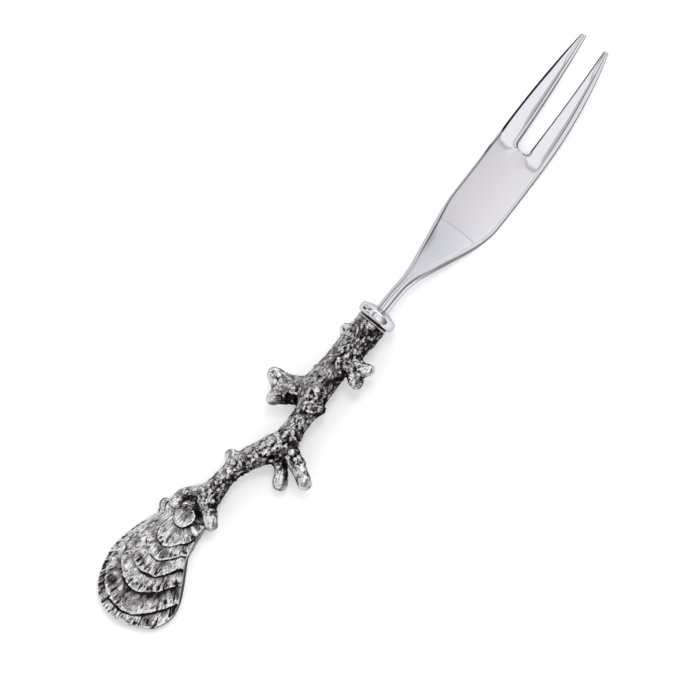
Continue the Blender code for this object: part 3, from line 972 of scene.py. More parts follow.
@dataclass
class PlateGrid:
    """A grid over the shell's growth plates: rows run out from the umbo, columns run round it.

    direction and turn give each column's direction and reach how far the outline is. plate is each
    row's plate, from the boss outwards, and part how far out on it the row is. low and radial are
    distances from the umbo, of the plate's start and of each point. around is how far along its plate
    a point is, or on the boss how far to the right. own sets a plate's patterns apart. room is 1
    where a plate is wide enough for relief, and left is 1 on the left.
    """

    direction: Row
    turn: Row
    reach: Row
    plate: Row
    part: Row
    low: Row
    radial: Row
    around: Row
    own: Row
    room: Row
    left: Row

    @property
    def boss(self) -> Row:
        """Which rows are on the boss."""
        return self.plate == 0

    @property
    def inmost(self) -> Row:
        """Which rows are on the plate next to the boss."""
        return self.plate == 1

    @property
    def rim(self) -> Row:
        """Which rows are on the last plate."""
        return self.plate == self.plate.max()

    @property
    def free(self) -> Row:
        """Which rows have a free lip: 1 between the boss and the rim's plate, 0 on them."""
        return np.where(self.boss | self.rim, 0.0, 1.0)

    @property
    def outward(self) -> Row:
        """How far from the umbo each point is, or on the boss how far up."""
        return np.where(self.boss, self.radial * np.sin(self.turn), self.radial)

    @property
    def share(self) -> Row:
        """How far each point is from the umbo to the outline, from 0 to 1."""
        return np.clip(self.radial / self.reach, 0, 1)

    def along(self, seed: int, length: float) -> Row:
        """Soft noise along each plate, with lumps of the given length."""
        return noise_on(seed, self.around / length, self.own, 0 * self.own)


@dataclass
class PlateMarks:
    """Marks on the shell's plates, one value a point.

    Strokes, notches, lips and the shadows under them run from 0 to 1 and ribs from -1 to 1. flake is
    the height of small sloping flakes, flake_edge is 0 in the cracks between them, and flake_share is
    a random share of the flake's own.
    """

    stroke: Row
    notch: Row
    rib: Row
    flake: Row
    flake_edge: Row
    flake_share: Row
    lip: Row
    under: Row


@dataclass(frozen=True)
class ShellTones:
    """How much each mark darkens the shell, or brightens it where below nought."""

    ground: float = 0.16
    rib: float = -0.08
    # Painted light: the left side is lightened.
    left: float = -0.2
    stroke: float = 0.78
    rim_stroke: float = 0.8
    notch: float = 0.45
    # Painted shadow under each lip, then a painted highlight on the bare, rubbed lips.
    under: float = 0.95
    lip: float = -0.6
    blotch: float = 0.33
    # Painted highlight on the right of each plate, towards its lip.
    rubbed: float = -0.16
    crack: float = 0.2
    flake: float = 0.4
    left_flakes: float = 0.5
    # Painted shade on the first plate, between the boss and the right claw.
    corner: float = 0.4
    beak: float = 0.3
    left_shade: float = 0.6
    # Painted shade on the rim's wall and the back, more on the left.
    wall: float = 0.6
    left_wall_shade: float = 0.2


@dataclass
class OysterShell(Piece):
    """The cast oyster shell: growth plates about an umbo, on a flat back."""

    finish = ANTIQUE_PEWTER
    slot = Slot.DARK_PEWTER
    node = "oyster_shell"
    tones: ShellTones = ShellTones()
    width: float = 21.3 * MM
    length: float = 31.8 * MM
    height: float = 5.8 * MM
    least_height: float = 0.3 * MM
    rim_height: float = 2.2 * MM
    rim_thickness: float = 0.9 * MM
    rim_undercut: float = 2.4 * MM
    rim_shift: float = 0.45 * MM
    rim_step: float = 0.6
    edge_roughness: float = 0.07 * MM
    edge_lump: float = 1.3 * MM
    edge_steps: int = 24
    dome_power: float = 1.7
    umbo_across: float = -0.07
    umbo_along: float = 0.138
    lip_shares: tuple[float, ...] = (0.287, 0.42, 0.558, 0.713, 0.907)
    lip_roundness: float = 0.55
    lip_oval_span: Span = (-0.05, 0.3)
    lip_spacing: float = 0.04 * MM
    lip_waver: float = 0.32 * MM
    waver_length: float = 3 * MM
    ripple_length: float = 0.9 * MM
    ripple_share: float = 0.5
    lip_step: float = 0.8 * MM
    lip_power: float = 1.4
    lip_overhang: float = 0.15 * MM
    lip_span: Span = (0.86, 0.96)
    lip_shadow: float = 0.8 * MM
    shadow_length: float = 2.2 * MM
    shadow_level: Span = (-0.5, 0.2)
    shadow_least: float = 0.35
    shadow_core: float = 0.35
    boss_shadow: float = 0.5
    boss_shadow_span: Span = (-0.2, 0.6)
    left_shadow: float = 0.25
    lip_rounding: float = 0.16 * MM
    rounding_from: float = 0.88
    boss_half_width: float = 2.35 * MM
    boss_half_length: float = 2.6 * MM
    boss_height: float = 0.35 * MM
    boss_sink: float = 0.15 * MM
    boss_power: int = 4
    boss_limit: float = 0.6
    boss_unevenness: float = 0.1
    boss_lumps: float = 2.2
    flake_width: float = 0.95 * MM
    flake_length: float = 1.5 * MM
    flake_height: float = 0.32 * MM
    flake_crack: Span = (0.0, 0.18)
    stroke_width: float = 0.31 * MM
    stroke_length: float = 1.3 * MM
    stroke_depth: float = 0.2 * MM
    rim_stroke_depth: float = 0.26 * MM
    stroke_level: Span = (0.2, 0.48)
    stroke_span: Span = (0.4, 0.75)
    stroke_least: float = 0.2
    boss_stroke: float = 0.5
    left_stroke: float = 0.5
    fine_scale: float = 1.7
    fine_share: float = 0.4
    density_size: float = 2.5 * MM
    density_share: float = 0.3
    rib_width: float = 0.8 * MM
    rib_length: float = 4.0 * MM
    rib_height: float = 0.13 * MM
    rib_span: Span = (0.0, 0.35)
    boss_rib: float = 0.2
    notch_width: float = 0.5 * MM
    notch_depth: float = 0.16 * MM
    notch_level: Span = (0.15, 0.5)
    notch_span: Span = (0.78, 0.95)
    blotch_size: float = 2.4 * MM
    highlight_across: Span = (0.0, 0.5)
    highlight_span: Span = (0.25, 0.7)
    boss_shade_up: Span = (-0.25, 0.1)
    boss_shade_across: Span = (0.2, 0.6)
    beak_share: Span = (0.75, 0.95)
    beak_up: Span = (0.1, 0.4)
    left_span: Span = (0.1, 0.8)
    left_softness: float = 0.35
    wall_shade_span: Span = (-0.3, 0.3)
    room_span: Span = (0.1 * MM, 1.2 * MM)
    plate_offset: float = 7.3
    crease_angle: float = math.radians(42)
    around: int = 640
    plate_rows: tuple[int, ...] = (10, 16, 18, 20, 24, 28, 18)
    plate_shade: tuple[float, ...] = (0.0, 0.1, 0.2, 0.15, 0.3, 0.55, 0.35)
    wall_inset: tuple[float, ...] = (0.0, 0.03, 0.1, 0.35, 0.7, 1.0)
    wall_curl: tuple[float, ...] = (1.0, 1.0, 0.85, 0.4, 0.1, 0.0)
    wall_rise: tuple[float, ...] = (0.6, 0.1, 0.0, 0.0, 0.0, 0.0)
    back_shares: Span = (0.6, 0.0)
    outline: tuple[tuple[float, float], ...] = (
        (0.0, 0.0), (0.29, 0.05), (0.35, 0.14), (0.4, 0.28), (0.45, 0.37), (0.58, 0.45), (0.71, 0.52),
        (0.84, 0.59), (0.95, 0.66), (1.0, 0.74), (0.95, 0.82), (0.81, 0.89), (0.57, 0.94), (0.28, 0.98),
        (-0.05, 1.0), (-0.38, 0.98), (-0.63, 0.93), (-0.81, 0.86), (-0.94, 0.76), (-1.0, 0.66),
        (-1.0, 0.55), (-0.94, 0.45), (-0.83, 0.345), (-0.72, 0.25), (-0.73, 0.215), (-0.82, 0.18),
        (-0.79, 0.13), (-0.58, 0.09), (-0.36, 0.035),
    )

    def spot(self, shares: Row) -> Row:
        """Plan points from shares of the half width to the right and of the length from the beak."""
        middle = (self.layout.shell_left + self.layout.shell_right) / 2 + self.rim_shift
        beak = self.layout.shell_low + self.length
        return np.stack([middle + shares[:, 0] * self.width / 2, beak - shares[:, 1] * self.length], 1)

    def umbo(self) -> Row:
        """The plan point that all growth plates spread from."""
        return self.spot(np.array([[self.umbo_across, self.umbo_along]]))[0]

    def edge(self) -> Row:
        """The outline in plan, evenly spaced along its own length and roughened by noise."""
        curve = self.spot(smooth_row(np.array(self.outline), self.edge_steps, closed=True))
        curve = np.vstack([curve, curve[:1]])
        walked = np.concatenate([[0.0], np.cumsum(np.linalg.norm(np.diff(curve, axis=0), axis=1))])
        even = np.linspace(0, walked[-1], self.around, endpoint=False)
        plan = np.stack([np.interp(even, walked, curve[:, axis]) for axis in range(2)], 1)
        uneven = layered_noise(np.column_stack([plan / self.edge_lump, 0 * even]), Seed.SHELL_EDGE, 2)
        out = plan - self.umbo()
        out = out / np.linalg.norm(out, axis=1, keepdims=True)
        return plan + out * (self.edge_roughness * uneven)[:, None]

    def dome(self, share: Row) -> Row:
        """Height of the smooth dome: the rim's height plus a power curve from the umbo."""
        return self.rim_height + (self.height - self.rim_height) * (1 - share**self.dome_power)

    def share_at(self, plan: Row) -> Row:
        """How far plan points lie from the umbo to the outline, 1 on the outline."""
        out = self.edge() - self.umbo()
        turn = np.arctan2(out[:, 1], out[:, 0])
        order = np.argsort(turn)
        off = plan - self.umbo()
        reach = np.interp(
            np.arctan2(off[..., 1], off[..., 0]),
            turn[order],
            np.linalg.norm(out, axis=1)[order],
            period=2 * math.pi,
        )
        return np.linalg.norm(off, axis=-1) / reach

    def lips(self, turn: Row, reach: Row) -> Row:
        """Where each plate begins and ends in each direction, as distances from the umbo.

        The first plate is an oval boss. On the left and below, the lips keep shares of the way to
        the outline. On the right they are ovals that the outline cuts off.

        Args:
            turn: The directions, as angles from +X.
            reach: How far the outline is in each.

        Returns:
            One row for each lip, starting with noughts and ending with the outline.
        """
        across, upward = np.cos(turn), np.sin(turn)
        below = np.interp(-math.pi / 2, *(part[np.argsort(turn)] for part in (turn, reach)))
        oval = below / np.hypot(across / self.lip_roundness, upward)
        full = blended(reach, oval, between(across, *self.lip_oval_span))
        boss = 1 / np.hypot(across / self.boss_half_width, upward / self.boss_half_length)
        circle = np.stack([across, upward, 0 * turn], -1)
        uneven = layered_noise(self.boss_lumps * circle, Seed.BOSS_EDGE, 2)
        boss = np.minimum(boss * (1 + self.boss_unevenness * uneven), self.boss_limit * reach)
        lips = np.vstack([0 * turn, boss, np.outer(self.lip_shares, full), reach])
        number = np.arange(len(lips))[:, None]
        lips[2:] = np.maximum(lips[2:], lips[1] + self.lip_spacing * number[1:-1])
        lips[:-1] = np.minimum(lips[:-1], reach - self.lip_spacing * number[:0:-1])
        lips[0] = 0.0
        return lips

    def plates(self) -> PlateGrid:
        """The grid over the plates, whose free lips waver by noise along them.

        Returns:
            The grid.
        """
        out = self.edge() - self.umbo()
        reach = np.linalg.norm(out, axis=1)
        turn = np.arctan2(out[:, 1], out[:, 0])
        plate = np.repeat(np.arange(len(self.plate_rows)), self.plate_rows)
        runs = [(1 - np.cos(np.linspace(0, math.pi, rows))) / 2 for rows in self.plate_rows]
        part = np.concatenate(runs)[:, None]
        lips = self.lips(turn, reach)
        low, wide = lips[plate], np.diff(lips, axis=0)[plate]
        step = np.abs((np.roll(turn, -1) - turn + math.pi) % (2 * math.pi) - math.pi)
        around = np.cumsum((low + wide / 2) * step, axis=1)
        plate = plate[:, None]
        radial = low + wide * part
        grid = PlateGrid(
            direction=out / reach[:, None],
            turn=turn,
            reach=reach,
            plate=plate,
            part=part,
            low=low,
            radial=radial,
            around=np.where(plate == 0, radial * np.cos(turn), around),
            own=np.broadcast_to(plate * self.plate_offset, around.shape),
            room=between(wide, *self.room_span),
            left=between(-np.cos(turn), *self.left_span),
        )
        waver = grid.along(Seed.LIP_WAVER, self.waver_length)
        waver = waver + self.ripple_share * grid.along(Seed.LIP_RIPPLE, self.ripple_length)
        grid.radial = radial + self.lip_waver * waver * ease(part) * grid.free * grid.room
        return grid

    def firmness(self, grid: PlateGrid) -> Row:
        """How firmly the lips stand out: less on the left and where a plate is narrow."""
        return (1 - self.left_softness * grid.left) * grid.room

    def strokes(self, grid: PlateGrid) -> Row:
        """Short dark strokes that run outwards.

        They are where noise, drawn out along the radius, is high. Wider noise thins them in places,
        and they are fewer on the left and away from the lips.

        Args:
            grid: The grid over the plates.

        Returns:
            One value for each point, 1 in the middle of a stroke and 0 between them.
        """
        across, outward = grid.around / self.stroke_width, grid.outward / self.stroke_length
        place = np.stack([across, outward, grid.own], -1)
        coarse = soft_noise(place, Seed.STROKES)
        fine = soft_noise(place * self.fine_scale, Seed.FINE_STROKES)
        place = np.stack([grid.around, grid.outward, grid.own * MM], -1) / self.density_size
        dense = soft_noise(place, Seed.STROKE_DENSITY)
        level = coarse + self.fine_share * fine + self.density_share * dense
        near_lip = blended(self.stroke_least, 1.0, between(grid.part, *self.stroke_span))
        strength = np.where(grid.rim, 1.0, near_lip * (1 - self.left_stroke * grid.left))
        return between(level, *self.stroke_level) * np.where(grid.boss, self.boss_stroke, strength)

    def shadows(self, grid: PlateGrid) -> Row:
        """The shadow under each lip, which fades outwards over a depth that varies along the lip.

        Args:
            grid: The grid over the plates.

        Returns:
            One value for each point, from 0 to 1; round the boss only below it.
        """
        varying = between(grid.along(Seed.LIP_SHADOWS, self.shadow_length), *self.shadow_level)
        depth = blended(self.shadow_least, 1.0, varying)
        depth = np.where(grid.inmost, self.boss_shadow, depth) * self.lip_shadow
        under = between(grid.radial - grid.low, depth, self.shadow_core * depth)
        under = np.where(grid.boss, 0.0, under) * grid.room * (1 - self.left_shadow * grid.left)
        below_boss = between(-np.sin(grid.turn), *self.boss_shadow_span)
        return under * np.where(grid.inmost, below_boss, 1.0)

    def marks(self, grid: PlateGrid) -> PlateMarks:
        """The marks on the plates: strokes, notches, ribs, flakes, lips and the shadows under them.

        Args:
            grid: The grid over the plates.

        Returns:
            The marks.
        """
        across, outward = grid.around / self.flake_width, grid.outward / self.flake_length
        nearest, second, share, flake = pebbles(np.stack([across, outward, grid.own], -1), Seed.FLAKES)
        notch = between(grid.along(Seed.NOTCHES, self.notch_width), *self.notch_level)
        across, radial = grid.around / self.rib_width, grid.radial / self.rib_length
        return PlateMarks(
            stroke=self.strokes(grid),
            notch=notch * between(grid.part, *self.notch_span) * grid.free,
            rib=noise_on(Seed.RIBS, across, radial, grid.own),
            flake=flake,
            flake_edge=between(second - nearest, *self.flake_crack),
            flake_share=share,
            lip=between(grid.part, *self.lip_span),
            under=self.shadows(grid),
        )

    def heights(self, grid: PlateGrid, marks: PlateMarks) -> Row:
        """Height of each point: the dome, each plate's rise to its lip and the marks' relief.

        A plate rises by a power of how far out on it a point is, and its lip rounds off by a square.

        Args:
            grid: The grid over the plates.
            marks: The marks on them.

        Returns:
            One height for each point.
        """
        rise = self.lip_step * self.firmness(grid) * (grid.part**self.lip_power - 0.5)
        height = self.dome(grid.share) + rise * np.where(grid.rim, self.rim_step, 1.0)
        boss = self.height - self.boss_sink + self.boss_height * (1 - grid.part**self.boss_power)
        height = np.where(grid.boss, boss, height)
        height = height - np.where(grid.rim, self.rim_stroke_depth, self.stroke_depth) * marks.stroke
        height = height - self.notch_depth * marks.notch
        height = height + self.flake_height * marks.flake * marks.flake_edge * grid.room
        ribbed = between(grid.part, *self.rib_span) * grid.room
        ribbed = ribbed * np.where(grid.boss, self.boss_rib, 1.0)
        height = height + self.rib_height * marks.rib * ribbed
        rounding = np.clip((grid.part - self.rounding_from) / (1 - self.rounding_from), 0, 1)
        return height - self.lip_rounding * rounding**2 * grid.free

    def patina_and_painted_shade(self, grid: PlateGrid, marks: PlateMarks, points: Row) -> Row:
        """How dark each point is: a ground tone and the weighted sum of the marks, some of them painted
        shade and painted highlights.

        Args:
            grid: The grid over the plates.
            marks: The marks on them.
            points: The finished points, which blotches follow.

        Returns:
            One value for each point, from 0 to 1.
        """
        tones, across, upward = self.tones, np.cos(grid.turn), np.sin(grid.turn)
        blotch = layered_noise(points / self.blotch_size, Seed.SHELL_BLOTCHES)
        # Painted highlight: the right of each plate, towards its lip, is lightened.
        rubbed = between(across, *self.highlight_across) * between(grid.part, *self.highlight_span)
        # Painted shade: the first plate is darkened between the boss and the right claw.
        corner = between(upward, *self.boss_shade_up) * between(across, *self.boss_shade_across) * grid.inmost
        beak = between(grid.share, *self.beak_share) * between(upward, *self.beak_up)
        flaked = tones.crack * (1 - marks.flake_edge) + tones.flake * (marks.flake_share - 0.5)
        shade = np.array(self.plate_shade)[grid.plate] * (1 - grid.part)
        # The left side is lightened as painted light.
        dark = tones.ground + tones.rib * marks.rib + tones.left * grid.left
        dark = dark + np.where(grid.rim, tones.rim_stroke, tones.stroke) * marks.stroke
        # Painted shadow under each lip, and a painted highlight on the bare lips.
        dark = dark + tones.notch * marks.notch + tones.under * marks.under + tones.lip * marks.lip
        dark = dark + tones.blotch * blotch + tones.rubbed * rubbed
        dark = dark + flaked * grid.room * (1 - tones.left_flakes * grid.left)
        dark = dark + tones.corner * corner + tones.beak * beak
        return np.clip(dark + shade * (1 - tones.left_shade * grid.left), 0.0, 1.0)

    def top_grid(self) -> tuple[Row, Row]:
        """The growth plates, from the umbo out to the rim.

        Row by row each plate rises to its lip, and the next row starts lower, under the lip.

        Returns:
            The points and their patina, painted shade and painted highlights.
        """
        grid = self.plates()
        marks = self.marks(grid)
        height = np.maximum(self.heights(grid, marks), self.least_height)
        jut = self.lip_overhang * marks.lip - self.notch_depth * marks.notch
        radial = grid.radial + jut * self.firmness(grid) * grid.free
        plan = self.umbo() + grid.direction[None] * radial[..., None]
        points = np.concatenate([plan, height[..., None]], -1)
        return points, self.patina_and_painted_shade(grid, marks, points)

    def build(self) -> bpy.types.Object:
        """The shell: its plates, then the rim's wall and the flat back as rows of the same grid.

        Returns:
            The new piece.
        """
        top, patina_and_painted_shade = self.top_grid()
        edge = self.edge()
        inward = (self.umbo() - edge) / np.linalg.norm(self.umbo() - edge, axis=1, keepdims=True)
        inset = np.array(self.wall_inset)[:, None, None] * self.rim_undercut
        wall_plan = edge[None] + inward[None] * inset
        curl, rise = np.array(self.wall_curl)[:, None], np.array(self.wall_rise)[:, None]
        height = curl * (top[-1:, :, 2] - self.rim_thickness) + rise * self.rim_thickness
        wall = np.concatenate([wall_plan, height[..., None]], -1)
        shrink = np.array(self.back_shares)[:, None, None]
        back_plan = self.umbo() + (wall_plan[-1:] - self.umbo()) * shrink
        back = np.concatenate([back_plan, np.zeros_like(back_plan[..., :1])], -1)
        points = np.vstack([top, wall, back])
        # Painted shade: the rim's wall and the back are darkened, more on the left.
        dark = self.tones.wall + self.tones.left_wall_shade * between(inward[:, 0], *self.wall_shade_span)
        patina_and_painted_shade = np.vstack([patina_and_painted_shade, np.tile(dark, (len(wall) + len(back), 1))])
        faces = grid_faces(*points.shape[:2])
        piece = new_piece("cast_shell", points.reshape(-1, 3), faces, patina_and_painted_shade.ravel())
        piece.data.set_sharp_from_angle(angle=self.crease_angle)
        return piece


@dataclass
class Casting:
    """Signed distances to a cast form on a grid of points: below nought inside it."""

    low: Row
    high: Row
    step: float
    far: float = 3.0 * MM
    ragged_size: float = 1.1 * MM
    slope_share: float = 0.8
    values: Row = field(init=False)

    def __post_init__(self) -> None:
        """Starts with empty space everywhere."""
        count = np.ceil((self.high - self.low) / self.step).astype(int) + 1
        self.values = np.full(count, self.far, np.float32)

    def block(self, low: Row, high: Row, margin: float) -> tuple[slice, ...]:
        """The block of the grid that covers a box.

        Args:
            low: The box's low corner.
            high: Its high corner.
            margin: How far past the box the block reaches.

        Returns:
            A slice for each axis.
        """
        start = np.floor((low - margin - self.low) / self.step).astype(int)
        stop = np.ceil((high + margin - self.low) / self.step).astype(int)
        start, stop = np.maximum(start, 0), np.minimum(stop, self.values.shape)
        return tuple(slice(first, last) for first, last in zip(start, stop))

    def axes(self, block: tuple[slice, ...]) -> tuple[Row, Row, Row]:
        """Coordinates along each axis of a block of the grid, shaped so that they broadcast."""
        parts = zip(self.low, block)
        return np.ix_(*(low + self.step * np.arange(part.start, part.stop) for low, part in parts))

    @staticmethod
    def soft_least(first: Row, second: Row, blend: float) -> Row:
        """The lesser of two distances, less a square of how far they are within blend of each other."""
        overlap = np.maximum(blend - np.abs(first - second), 0) / blend
        return np.minimum(first, second) - overlap**2 * blend / 4

    def add_branch(self, path: Row, blend: float) -> None:
        """Joins a branch on, with a soft fillet.

        The branch is the nearest of the tapered rods between its path's points. Where it and the
        form are within blend of each other, the surface is drawn out over both.

        Args:
            path: Points along the branch as x, y, z and radius.
            blend: The fillet's size.
        """
        spots = path[:, :3]
        block = self.block(spots.min(0), spots.max(0), path[:, 3].max() + self.far)
        x, y, z = (line.astype(np.float32) for line in self.axes(block))
        branch = np.full(self.values[block].shape, self.far, np.float32)
        for near, next_one in zip(path[:-1], path[1:]):
            axis = next_one[:3] - near[:3]
            dot = (x - near[0]) * axis[0] + (y - near[1]) * axis[1] + (z - near[2]) * axis[2]
            share = np.clip(dot / max(axis @ axis, TINY), 0, 1)
            off = (x - near[0] - share * axis[0]) ** 2 + (y - near[1] - share * axis[1]) ** 2
            off = np.sqrt(off + (z - near[2] - share * axis[2]) ** 2)
            branch = np.minimum(branch, off - near[3] - share * (next_one[3] - near[3]))
        self.values[block] = self.soft_least(self.values[block], branch, blend)

    def cut_hollow(self, centre: Row, radius: float, blend: float, ragged: float) -> None:
        """Cuts an uneven ball out of the form, with a softened rim.

        Args:
            centre: The ball's centre.
            radius: Its radius.
            blend: How far the rim is softened.
            ragged: How far noise moves its surface in and out.
        """
        block = self.block(centre, centre, radius + self.far)
        place = np.stack(np.broadcast_arrays(*self.axes(block)), -1)
        uneven = ragged * soft_noise(place / self.ragged_size, Seed.HOLLOWS)
        off = np.linalg.norm(place - centre, axis=-1) + uneven
        ball = (radius - off).astype(np.float32)
        self.values[block] = -self.soft_least(-self.values[block], -ball, blend)

    def read(self, points: Row) -> Row:
        """The distance at any points, blended between the eight grid points around each."""
        place = (points - self.low) / self.step
        limit = np.array(self.values.shape) - 1.001
        place = np.clip(place, 0, limit)
        corner = np.floor(place).astype(int)
        weight = place - corner
        total = np.zeros(len(points))
        for step in np.ndindex(2, 2, 2):
            step = np.array(step)
            share = np.prod(np.where(step == 1, weight, 1 - weight), axis=1)
            total += share * self.values[tuple((corner + step).T)]
        return total

    def outward(self, points: Row) -> Row:
        """Unit directions away from the form: the slope of the distance at each point."""
        shifts = np.eye(3) * self.step * self.slope_share
        slope = np.stack([self.read(points + shift) - self.read(points - shift) for shift in shifts], 1)
        return slope / np.maximum(np.linalg.norm(slope, axis=1, keepdims=True), TINY)

    def skin(self) -> tuple[Row, Row]:
        """The surface where the distance is nought, as a net of quads.

        Each grid cell that the surface crosses gets one point, the mean of where it crosses the
        cell's edges, and each crossed edge gets one quad through the four cells around it.

        Returns:
            The points and four corner numbers for each quad.
        """
        cells = np.array(self.values.shape) - 1
        owners, spots, quads = [], [], []
        for axis in range(3):
            ahead = [slice(None)] * 3
            behind = [slice(None)] * 3
            ahead[axis], behind[axis] = slice(1, None), slice(None, -1)
            near, far = self.values[tuple(behind)], self.values[tuple(ahead)]
            place = np.argwhere((near < 0) != (far < 0))
            value, beyond = near[tuple(place.T)], far[tuple(place.T)]
            spot = place.astype(float)
            spot[:, axis] += value / (value - beyond)
            side = np.eye(3, dtype=int)
            u, v = side[(axis + 1) % 3], side[(axis + 2) % 3]
            around = np.stack([place - u - v, place - v, place, place - u], axis=1)
            numbers = np.ravel_multi_index(tuple(np.moveaxis(around, -1, 0)), cells)
            owners.append(numbers.ravel())
            spots.append(np.repeat(spot, 4, axis=0))
            quads.append(np.where((value < 0)[:, None], numbers, numbers[:, ::-1]))
        owners, spots = np.concatenate(owners), np.vstack(spots)
        used, owners = np.unique(owners, return_inverse=True)
        count = np.bincount(owners)
        points = np.stack([np.bincount(owners, spots[:, axis]) / count for axis in range(3)], 1)
        return self.low + self.step * points, np.searchsorted(used, np.vstack(quads))


@dataclass
class CoralSkin:
    """The coral's smooth skin, one row a point.

    out is the direction out of it, worn how far it is rubbed down and rough how strong its relief is.
    """

    points: Row
    out: Row
    worn: Row
    rough: Row


@dataclass
class CoralRelief:
    """The coral's relief, one value a point.

    height is how far the skin stands out. crease is 0 in the creases, and pit, the painted glint
    fleck and bead are 1 in the middle of one.
    """

    height: Row
    crease: Row
    pit: Row
    painted_glint: Row
    bead: Row


@dataclass(frozen=True)
class CoralTones:
    """How much each mark darkens the coral, or brightens it where below nought."""

    ground: float = 0.54
    high: float = -0.42
    crease: float = 0.3
    pit: float = 0.85
    # Painted glints on a few chips.
    painted_glint: float = -0.45
    worn: float = -0.24
    streak: float = 0.3
    lumps: float = -0.05
    # Patina and painted shade in shut-in places.
    shut_in_patina_and_shade: float = 0.8
    # Painted shadow in the hollows, lifted on the beads inside them.
    hollow_shadow: float = 0.7
    bead_out_of_shadow: float = 0.6
    # Painted shade on sides that face away from the light.
    side: float = 0.3


